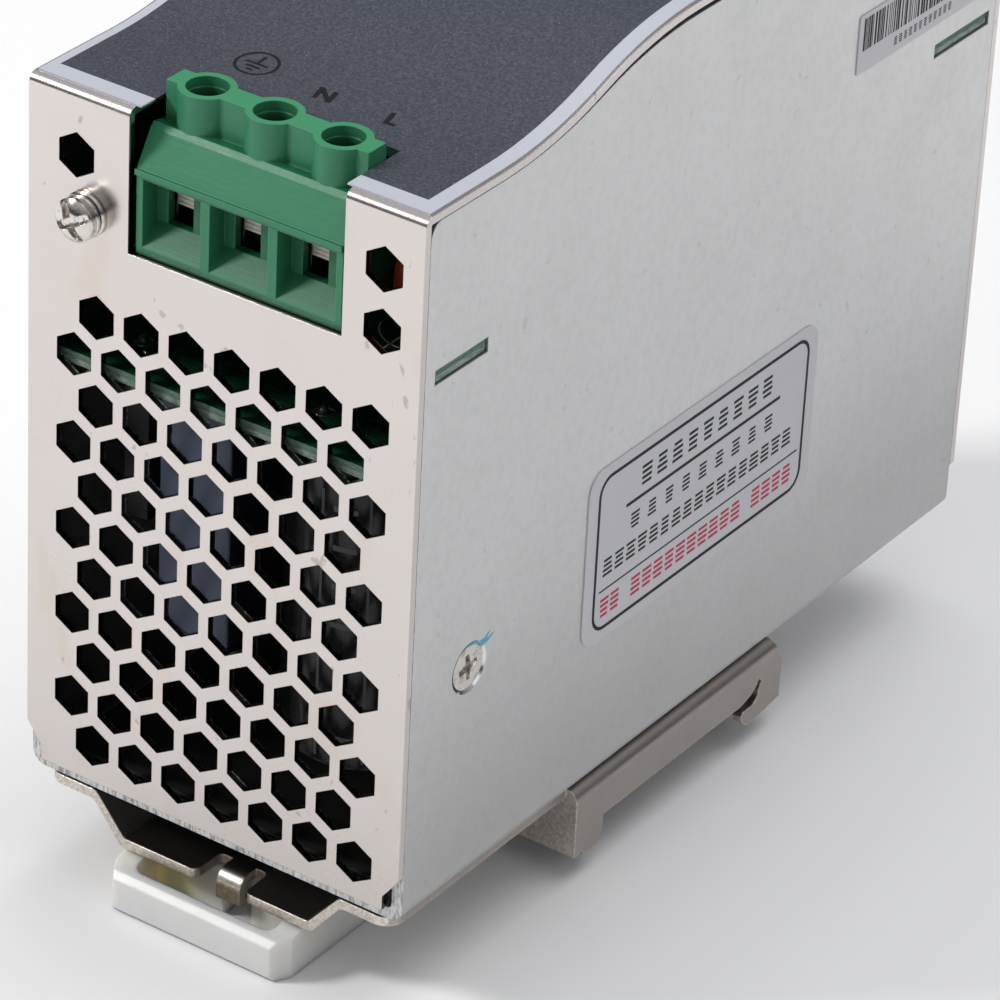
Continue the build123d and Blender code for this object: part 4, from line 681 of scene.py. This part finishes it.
def lathe(profile, around=72):
    """A turned shape about Z. The profile is (radius, height) points, starting on the axis."""
    points, faces, rings = [], [], []
    for radius, height in profile:
        start = len(points)
        if radius == 0:
            points.append((0.0, 0.0, height))
            rings.append([start] * around)
            continue
        for i in range(around):
            angle = 2 * math.pi * i / around
            points.append((radius * math.cos(angle), radius * math.sin(angle), height))
        rings.append(list(range(start, start + around)))
    for low, high in zip(rings, rings[1:]):
        for i in range(around):
            j = (i + 1) % around
            loop = list(dict.fromkeys((low[i], low[j], high[j], high[i])))
            faces.append(tuple(reversed(loop)))
    return points, faces


def thread(core, crest, pitch, length, around=60, per_turn=10):
    """A helical thread along -Z from the origin."""
    rows = int(length / pitch * per_turn)
    points, faces = [], []
    for row in range(rows + 1):
        z = length * row / rows
        for i in range(around):
            phase = (z / pitch - i / around) % 1.0
            tooth = min(1.0, 1.5 * (1 - abs(2 * phase - 1)))
            radius = core + (crest - core) * tooth
            angle = 2 * math.pi * i / around
            points.append((radius * math.cos(angle), radius * math.sin(angle), -z))
    for row in range(rows):
        for i in range(around):
            j = (i + 1) % around
            a, b = row * around, (row + 1) * around
            faces.append((a + i, b + i, b + j, a + j))
    faces.append(tuple(rows * around + i for i in range(around))[::-1])
    return points, faces


def washer(inner, outer, thickness, soft, gap=0.0, rise=0.0, steps=72):
    """A ring of rounded section that stands on z = 0. A gap opens it, and its ends rise apart."""
    top = thickness - soft
    section = [(inner + soft, 0), (outer - soft, 0), (outer, soft), (outer, top)]
    section += [(outer - soft, thickness), (inner + soft, thickness), (inner, top), (inner, soft)]
    count = len(section)
    points, faces = [], []
    for i in range(steps + 1):
        angle = gap / 2 + (2 * math.pi - gap) * i / steps
        lift = rise * (i / steps - 0.5)
        points += [(r * math.cos(angle), r * math.sin(angle), h + lift) for r, h in section]
    for i in range(steps):
        for k in range(count):
            a, b = i * count + k, i * count + (k + 1) % count
            faces.append((a, a + count, b + count, b))
    last = steps * count
    return points, faces + [tuple(range(count)), tuple(range(last, last + count))[::-1]]


def screw_head(radius, dome, side, recess_r, recess_w, depth, taper=0.0):
    """A head with a cross recess. Its top is at z = 0 on the axis, and it stands on -Z."""
    rings = 44
    profile = [(0.0, 0.0)]
    for i in range(1, rings + 1):
        r = radius * i / rings
        profile.append((r, -dome * (i / rings) ** 2.6))
    profile += [(radius - taper * k / 4, -dome - side * k / 4) for k in range(1, 5)]
    profile.append((0.0, -dome - side))
    points, faces = lathe(profile, 96)
    top = 1 + rings * 96
    shaped = []
    for index, (x, y, z) in enumerate(points):
        if index < top:
            u, v = max(abs(x), abs(y)), min(abs(x), abs(y))
            width = recess_w * (1.0 - 0.30 * u / recess_r) + max(0.0, 0.55 * recess_w - 0.5 * u)
            inside = min(1.0, max(0.0, (width - v) / 0.09))
            reach = min(1.0, max(0.0, (recess_r - u) / (0.55 * recess_r)))
            z -= depth * inside * min(1.0, 0.35 * (reach > 0) + 0.65 * reach)
        shaped.append((x, y, z))
    return shaped, faces


def tube(path, radius, sides=8):
    """A round wire along a list of points."""
    path = [Vector(p) for p in path]
    points, faces = [], []
    side = None
    for i, here in enumerate(path):
        ahead = (path[min(i + 1, len(path) - 1)] - path[max(i - 1, 0)]).normalized()
        if side is None:
            side = ahead.orthogonal().normalized()
        side = (side - ahead * side.dot(ahead)).normalized()
        up = ahead.cross(side)
        for k in range(sides):
            angle = 2 * math.pi * k / sides
            points.append(tuple(here + radius * (math.cos(angle) * side + math.sin(angle) * up)))
    for i in range(len(path) - 1):
        for k in range(sides):
            a, b = i * sides + k, i * sides + (k + 1) % sides
            faces.append((a, b, b + sides, a + sides))
    last = (len(path) - 1) * sides
    faces += [tuple(range(sides))[::-1], tuple(range(last, last + sides))]
    return points, faces


def ring_coil(middle, ring, half_w, half_h, turns, start, stop, wire):
    """Turns of wire round a ring of rectangular section that lies flat."""
    steps = 28
    path = []
    for i in range(turns * steps + 1):
        along = start + (stop - start) * i / (turns * steps)
        angle = 2 * math.pi * i / steps
        cos, sin = math.cos(angle), math.sin(angle)
        out = ring + math.copysign(abs(cos) ** 0.45, cos) * (half_w + wire)
        up = math.copysign(abs(sin) ** 0.45, sin) * (half_h + wire)
        x, y = middle[0] + out * math.cos(along), middle[1] + out * math.sin(along)
        path.append((x, y, middle[2] + up))
    return tube(path, wire)


# ---- printed front -------------------------------------------------------------------------
def front_height(y):
    """Height of the film's face at a place along the case."""
    rise = FRONT_HIGH - FRONT_LOW
    run = WAVE_OUTER - WAVE_INNER
    radius = (run**2 + rise**2) / (4 * rise)
    t = min(max(WAVE_OUTER - abs(y - MID_Y), 0.0), run)
    if t <= run / 2:
        return FRONT_LOW + radius - math.sqrt(radius**2 - t**2) + FILM
    return FRONT_HIGH - radius + math.sqrt(radius**2 - (run - t) ** 2) + FILM


def on_front(x, y, turn=1):
    """Places (u, v, height) on the front. With turn -1 the mark reads from the output end."""
    def place(u, v, height):
        at = y + turn * v
        return (x + turn * u, at, front_height(at) + height)
    return place


def marks(outlines, place):
    return together(*[slab(outline, place, INK) for outline in outlines])


def letter_n(w, h, stroke):
    lean = -0.30
    left, right = -w / 2, w / 2
    return [
        bar(left - lean, -h / 2, left + lean, h / 2, stroke),
        bar(right - lean, -h / 2, right + lean, h / 2, stroke),
        bar(left + lean, h / 2 - 0.1, right - lean, -h / 2 + 0.1, stroke),
    ]


def letter_l(w, h, stroke):
    lean = -0.30
    return [
        bar(-w / 2 - lean, -h / 2, -w / 2 + lean, h / 2, stroke),
        bar(-w / 2 - lean - stroke / 2, -h / 2 + stroke / 2, w / 2, -h / 2 + stroke / 2, stroke),
    ]


def earth_sign(radius, stroke):
    strokes = arc_strokes(0, 0, radius, 0, 2 * math.pi, stroke, 40)
    strokes += [bar(0, radius * 0.72, 0, 0, stroke), bar(-1.55, 0, 1.55, 0, stroke)]
    return strokes + [bar(-0.95, -0.75, 0.95, -0.75, stroke), bar(-0.4, -1.5, 0.4, -1.5, stroke)]


def plus_sign(size, stroke):
    return [bar(-size, 0, size, 0, stroke), bar(0, -size, 0, size, stroke)]


def make_front_marks():
    """Terminal marks, a turn mark by the adjuster and a ring round the lamp."""
    input_y = MID_Y - 45.9
    shapes = [
        marks(earth_sign(2.55, 0.38), on_front(-9.0, MID_Y - 44.7)),
        marks(letter_n(1.9, 2.6, 0.62), on_front(1.6, input_y)),
        marks(letter_l(1.5, 2.7, 0.60), on_front(11.3, input_y)),
    ]
    for i in range(4):
        x = (i - 1.5) * POLE_PITCH
        sign = plus_sign(1.3, 0.5) if i < 2 else [bar(-1.3, 0, 1.3, 0, 0.5)]
        shapes.append(marks(sign, on_front(x, FAR - 22.4, -1)))
    turn = arc_strokes(0, 0, 4.6, math.radians(200), math.radians(340), 0.35, 16)
    head = [[(4.32, -1.55), (5.6, -2.3), (3.5, -2.9)]]
    shapes.append(marks(turn + head, on_front(ADJUST_X, PANEL_PARTS_Y)))
    ring = arc_strokes(0, 0, 2.7, 0, 2 * math.pi, 0.3, 24)
    shapes.append(marks(ring, on_front(LAMP_X, PANEL_PARTS_Y)))
    piece("front_marks", together(*shapes), INK_DARK)


# ---- printed side labels -------------------------------------------------------------------
def on_side(y, z):
    """Places (u, v, height) on the film of the right side wall."""
    def place(u, v, height):
        return (SIDE_FILM_X + height, y + u, z + v)
    return place


def rounded_frame(u0, v0, u1, v1, corner, width):
    """Strokes of a rounded rectangular frame."""
    strokes = [
        bar(u0 + corner, v0, u1 - corner, v0, width),
        bar(u1, v0 + corner, u1, v1 - corner, width),
        bar(u1 - corner, v1, u0 + corner, v1, width),
        bar(u0, v1 - corner, u0, v0 + corner, width),
    ]
    quarter = math.pi / 2
    for index, (u, v) in enumerate(((u1, v1), (u0, v1), (u0, v0), (u1, v0))):
        cu = u - corner if u == u1 else u + corner
        cv = v - corner if v == v1 else v + corner
        strokes += arc_strokes(cu, cv, corner, index * quarter, (index + 1) * quarter, width, 8)
    return strokes


def tick_rows(draw, u0, u1, v, height, count, fill=0.72):
    """A row that stands for print: each cell is a stack of level strokes, never a letter."""
    strokes = []
    pitch = (u1 - u0) / count
    levels = 4
    for i in range(count):
        half = pitch * fill / 2
        u = u0 + pitch * (i + 0.5)
        for k in range(levels):
            w = half * draw.uniform(0.72, 1.0)
            level = v + height * (k / (levels - 1) - 0.5)
            strokes.append(bar(u - w, level, u + w, level, height * 0.17))
    return strokes


def make_side_prints():
    """Frame, rules and rows of the large label, and the bars of the small one."""
    draw = random.Random(5)
    place = on_side(MID_Y, BACK)
    black = rounded_frame(-24.2, 21.4, 21.8, 42.7, 2.4, 0.48)
    black += [bar(-18.3, 36.7, 15.7, 36.7, 0.46), bar(-23.2, 26.8, 20.8, 26.8, 0.22)]
    black += tick_rows(draw, -15.8, 14.2, 39.5, 2.3, 9, 0.66)
    black += tick_rows(draw, -18.0, 15.2, 34.0, 1.8, 9, 0.50)
    black += tick_rows(draw, -22.9, 19.2, 29.9, 2.0, 17, 0.80)
    piece("rating_print", marks(black, place), INK_BLACK)
    red = tick_rows(draw, -23.0, -18.6, 24.3, 2.2, 2, 0.86)
    red += tick_rows(draw, -16.4, 8.2, 24.3, 2.2, 10, 0.86)
    red += tick_rows(draw, 10.4, 19.8, 24.3, 2.2, 4, 0.86)
    piece("rating_print_red", marks(red, place), INK_RED)
    bars = []
    u = 28.7
    while u < 58.3:
        width = draw.choice((0.13, 0.13, 0.26, 0.39))
        bars.append(bar(u + width / 2, 79.2, u + width / 2, 83.6, width))
        u += width + draw.choice((0.15, 0.15, 0.28, 0.42))
    bars += tick_rows(draw, 36.0, 50.0, 77.8, 0.9, 12, 0.62)
    piece("code_print", marks(bars, place), INK_BLACK)


# ---- screws --------------------------------------------------------------------------------
def make_earth_screw():
    """Domed screw with a wide cross recess, and a real thread behind its washers."""
    low, high = ([v / MM for v in corner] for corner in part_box("earth_screw"))
    x, z = (low[0] + high[0]) / 2, (low[2] + high[2]) / 2
    head_r = (high[0] - low[0]) / 2
    head = screw_head(head_r - 0.05, 0.95, 0.8, 2.45, 0.60, 1.2)
    head_height = 1.75
    stem = thread(1.72, 1.98, 0.7, high[1] - low[1] - head_height)
    stem = moved(stem, Matrix.Translation((0, 0, 0.01 - head_height)))
    turn = Matrix.Translation((x, low[1] + 0.02, z)) @ Matrix.Rotation(math.radians(90), 4, "X")
    turn = turn @ Matrix.Rotation(math.radians(28), 4, "Z")
    shape = moved(together(head, stem), turn)
    obj = piece("earth_screw_threaded", shape, LOOKS["fastener"], smooth=35)
    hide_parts("earth_screw")


def make_earth_washers():
    """Nut and two washers with soft edges. The split one is a spring turn with its ends apart."""
    low, high = ([v / MM for v in corner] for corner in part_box("earth_screw"))
    x, z = (low[0] + high[0]) / 2, (low[2] + high[2]) / 2
    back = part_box("earth_nut_washers")[1][1] / MM
    def stand(y, spin=0):
        turn = Matrix.Translation((x, y, z)) @ Matrix.Rotation(math.radians(90), 4, "X")
        return turn @ Matrix.Rotation(math.radians(spin), 4, "Z")
    nut = lathe([(0.0, 0.0), (3.55, 0.0), (4.0, -0.3), (4.0, -2.1), (3.55, -2.4), (0.0, -2.4)], 6)
    plain = washer(2.1, 2.85, 0.62, 0.16)
    split = washer(2.1, 2.68, 0.70, 0.20, math.radians(14), 0.12)
    shape = together(moved(nut, stand(back - 2.4)), moved(plain, stand(NEAR - 0.05)),
                     moved(split, stand(NEAR - 0.80, 250)))
    obj = piece("earth_washers_turned", shape, LOOKS["fastener"], smooth=35)
    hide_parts("earth_nut_washers")


def make_side_screws():
    """Countersunk screws with a tapered cross recess, and the blue paint on one of them."""
    shapes = []
    for side, y, spin in ((1, SIDE_SCREW_Y, 8), (-1, SIDE_SCREW_FAR_Y, 31)):
        head = screw_head(2.93, 0.05, 1.35, 1.75, 0.50, 1.15, taper=1.35)
        stem = moved(thread(1.15, 1.44, 0.5, 3.8), Matrix.Translation((0, 0, -1.38)))
        turn = Matrix.Translation((side * (HALF_W - 0.14), y, SIDE_SCREW_Z))
        turn = turn @ Matrix.Rotation(math.radians(90 * side), 4, "Y")
        turn = turn @ Matrix.Rotation(math.radians(spin), 4, "Z")
        shapes.append(moved(together(head, stem), turn))
    obj = piece("side_screws_recessed", together(*shapes), LOOKS["fastener"], smooth=35)
    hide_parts("side_screws")
    dab = [(1.9, 2.25), (2.35, 1.8), (2.9, 1.9), (3.5, 1.95), (4.9, 2.6)]
    dab += [(3.7, 2.35), (3.3, 2.45), (4.0, 3.3), (3.0, 2.7), (2.3, 2.65)]
    rim = [(-0.4, 2.95), (0.6, 2.9), (1.5, 2.5), (2.1, 2.3), (1.7, 2.8), (0.8, 3.2), (-0.3, 3.2)]
    def on_wall(u, v, height):
        return (HALF_W + 0.005 + height, SIDE_SCREW_Y + u, SIDE_SCREW_Z + v)
    paint = together(slab(dab, on_wall, 0.03), slab(rim, on_wall, 0.03))
    piece("thread_lock_paint", paint, PAINT_BLUE)


# ---- wound parts and boards ----------------------------------------------------------------
def make_windings():
    """Real turns of wire on the choke and on the output inductor."""
    choke = (-2.0, NEAR + 39.0, TERMINAL_BOARD + 5.7)
    halves = []
    for middle in (0, math.pi):
        spread = math.radians(68)
        halves.append(ring_coil(choke, 8.5, 2.5, 3.5, 11, middle - spread, middle + spread, 0.5))
    obj = piece("choke_turns", together(*halves), LOOKS["enamel_wire"], smooth=60)
    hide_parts("choke_windings")
    inductor = (9.0, FAR - 27.0, POWER_UNDER - 5.9)
    gap = math.radians(12)
    turns = ring_coil(inductor, 8.25, 2.75, 4.5, 18, math.pi / 2 + gap, math.pi * 2.5 - gap, 0.6)
    obj = piece("inductor_turns", turns, LOOKS["enamel_wire"], smooth=60)
    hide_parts("inductor_winding")


def on_board(x, y, top):
    def place(u, v, height):
        return (x + u, y + v, top + height)
    return place


def make_board_details():
    """Component outlines in white on the boards, and domed solder joints."""
    outlines = []
    top = TERMINAL_BOARD + 0.02
    for x, y, radius in ((21.2, NEAR + 10.1, 5.2), (15.0, NEAR + 26.0, 6.9), (-2.0, NEAR + 39.0, 12.8)):
        circle = arc_strokes(0, 0, radius, 0, 2 * math.pi, 0.2, 36)
        outlines.append(marks(circle, on_board(x, y, top)))
    for x0, y0, x1, y1 in ((-12.5, 15.2, 12.5, 22.8), (-16.2, 2.0, 20.0, 12.2)):
        edge = rounded_frame(x0, y0, x1, y1, 0.4, 0.2)
        outlines.append(marks(edge, on_board(0, NEAR, top)))
    piece("board_outlines", together(*outlines), INK_WHITE)
    draw = random.Random(11)
    joints = []
    for _ in range(46):
        x, y = draw.uniform(-22, 22), draw.uniform(NEAR + 4, FAR - 4)
        if abs(x) < 9 and abs(y - MID_Y) < 5:
            continue
        size = draw.uniform(0.8, 1.3)
        profile = [(0.0, 0.9), (size * 0.25, 0.85), (size * 0.45, 0.45), (size * 0.75, 0.14)]
        dome = lathe(profile + [(size, 0.0), (0.0, 0.0)], 20)
        joints.append(moved(dome, Matrix.Translation((x, y, POWER_BOARD + 0.02))))
    piece("solder_joints", together(*joints), SOLDER, smooth=50)


def make_capacitor_prints():
    """Pale stripe with minus marks on each electrolytic capacitor."""
    bands = []
    cans = [(11.4, NEAR + 16.4, 10.9, 44.0, -75)]
    cans += [(-12.0, FAR - 34.7 + 12.9 * i, 6.25, 25.0, 60) for i in range(3)]
    for x, y, radius, height, facing in cans:
        middle = math.radians(facing)
        def place(u, v, out, x=x, y=y, radius=radius, middle=middle):
            angle = middle + u / radius
            reach = radius + out
            return (x + reach * math.cos(angle), y + reach * math.sin(angle), v)
        top, foot = POWER_UNDER - 6.0, POWER_UNDER - height + 1.6
        steps = 8
        for edge in (-3.0, 3.0):
            bands.append(slab(bar(edge, foot, edge, top, 0.35), place, INK))
        level = foot + 3.0
        while level < top - 2:
            for k in range(steps):
                u = -1.5 + 3.0 * k / steps
                bands.append(slab(bar(u, level, u + 3.0 / steps, level, 0.7), place, INK))
            level += 5.2
    piece("capacitor_prints", together(*bands), INK_GREY)


def make_spring():
    """Latch spring with closed ends, as one fixed coil; the real one shortens as the latch is pulled."""
    low, high = ([v / MM for v in corner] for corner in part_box("latch_spring"))
    x, z = (low[0] + high[0]) / 2, (low[2] + high[2]) / 2
    wire = 0.25
    radius = (high[0] - low[0]) / 2 - wire
    start, length = low[1] + wire, high[1] - low[1] - 2 * wire
    turns, steps = 11, 24
    path = []
    for i in range(turns * steps + 1):
        t = i / (turns * steps)
        eased = t - 0.05 * math.sin(2 * math.pi * t)
        angle = 2 * math.pi * i / steps
        path.append((x + radius * math.cos(angle), start + length * eased, z + radius * math.sin(angle)))
    obj = piece("latch_spring_coil", tube(path, wire, 8), LOOKS["spring_steel"], smooth=60)
    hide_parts("latch_spring")
    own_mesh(obj)


make_front_marks()
make_side_prints()
make_earth_screw()
make_earth_washers()
make_side_screws()
make_windings()
make_board_details()
make_capacitor_prints()
make_spring()


# ---- stage, lights and camera --------------------------------------------------------------
def make_floor():
    mesh = bpy.data.meshes.new("floor")
    half = 2.5
    z = cad_box[0][2] - 0.0001
    corners = [(-half, -half, z), (half, -half, z), (half, half, z), (-half, half, z)]
    mesh.from_pydata(corners, [], [(0, 1, 2, 3)])
    look = Look("floor_paper", (0.90, 0.90, 0.90), 0.75)
    look.paint(look.band(look.noise(0.004), 0.4, 0.6, 0.0, 0.3), (0.885, 0.887, 0.89))
    mesh.materials.append(look.material)
    floor = bpy.data.objects.new("floor", mesh)
    bpy.context.scene.collection.objects.link(floor)


def add_light(name, place, size, power, color=(1.0, 1.0, 1.0)):
    """A soft rectangular light that points at the middle of the case."""
    lamp = bpy.data.lights.new(name, "AREA")
    lamp.shape = "RECTANGLE"
    lamp.size, lamp.size_y = size
    lamp.energy = power
    lamp.color = color
    obj = bpy.data.objects.new(name, lamp)
    obj.location = place
    aim = Vector((0.0, 0.0, 0.05)) - Vector(place)
    obj.rotation_euler = aim.to_track_quat("-Z", "Y").to_euler()
    bpy.context.scene.collection.objects.link(obj)


def make_world():
    """Pale studio surroundings, darker towards the horizon."""
    world = bpy.data.worlds.new("studio")
    world.use_nodes = True
    tree = world.node_tree
    coordinates = tree.nodes.new("ShaderNodeTexCoord")
    split = tree.nodes.new("ShaderNodeSeparateXYZ")
    ramp = tree.nodes.new("ShaderNodeValToRGB")
    tree.links.new(coordinates.outputs["Generated"], split.inputs[0])
    tree.links.new(split.outputs["Z"], ramp.inputs["Fac"])
    tree.links.new(ramp.outputs["Color"], tree.nodes["Background"].inputs["Color"])
    ramp.color_ramp.elements[0].position = 0.0
    ramp.color_ramp.elements[0].color = (0.05, 0.05, 0.055, 1)
    ramp.color_ramp.elements[1].position = 0.75
    ramp.color_ramp.elements[1].color = (0.95, 0.96, 1.0, 1)
    ramp.color_ramp.elements.new(0.14).color = (0.07, 0.07, 0.075, 1)
    ramp.color_ramp.elements.new(0.30).color = (0.42, 0.42, 0.44, 1)
    tree.nodes["Background"].inputs["Strength"].default_value = 0.56
    bpy.context.scene.world = world


def make_camera():
    camera = bpy.data.cameras.new("camera")
    camera.sensor_width = 36.0
    camera.lens = 202.58
    obj = bpy.data.objects.new("camera", camera)
    obj.location = (0.33411, -0.50611, 0.38723)
    obj.rotation_euler = [math.radians(a) for a in (59.2109, -2.5883, 35.0951)]
    bpy.context.scene.collection.objects.link(obj)
    bpy.context.scene.camera = obj


make_floor()
make_world()
add_light("key_softbox", (-0.90, -0.80, 0.95), (0.3, 0.3), 12.5, (1.0, 0.985, 0.965))
add_light("top_softbox", (0.15, 0.35, 1.35), (1.2, 0.9), 7.5)
add_light("side_softbox", (1.25, -0.10, 0.75), (0.8, 0.8), 1.6, (0.96, 0.98, 1.0))
make_camera()
bpy.context.scene.view_settings.view_transform = "Standard"
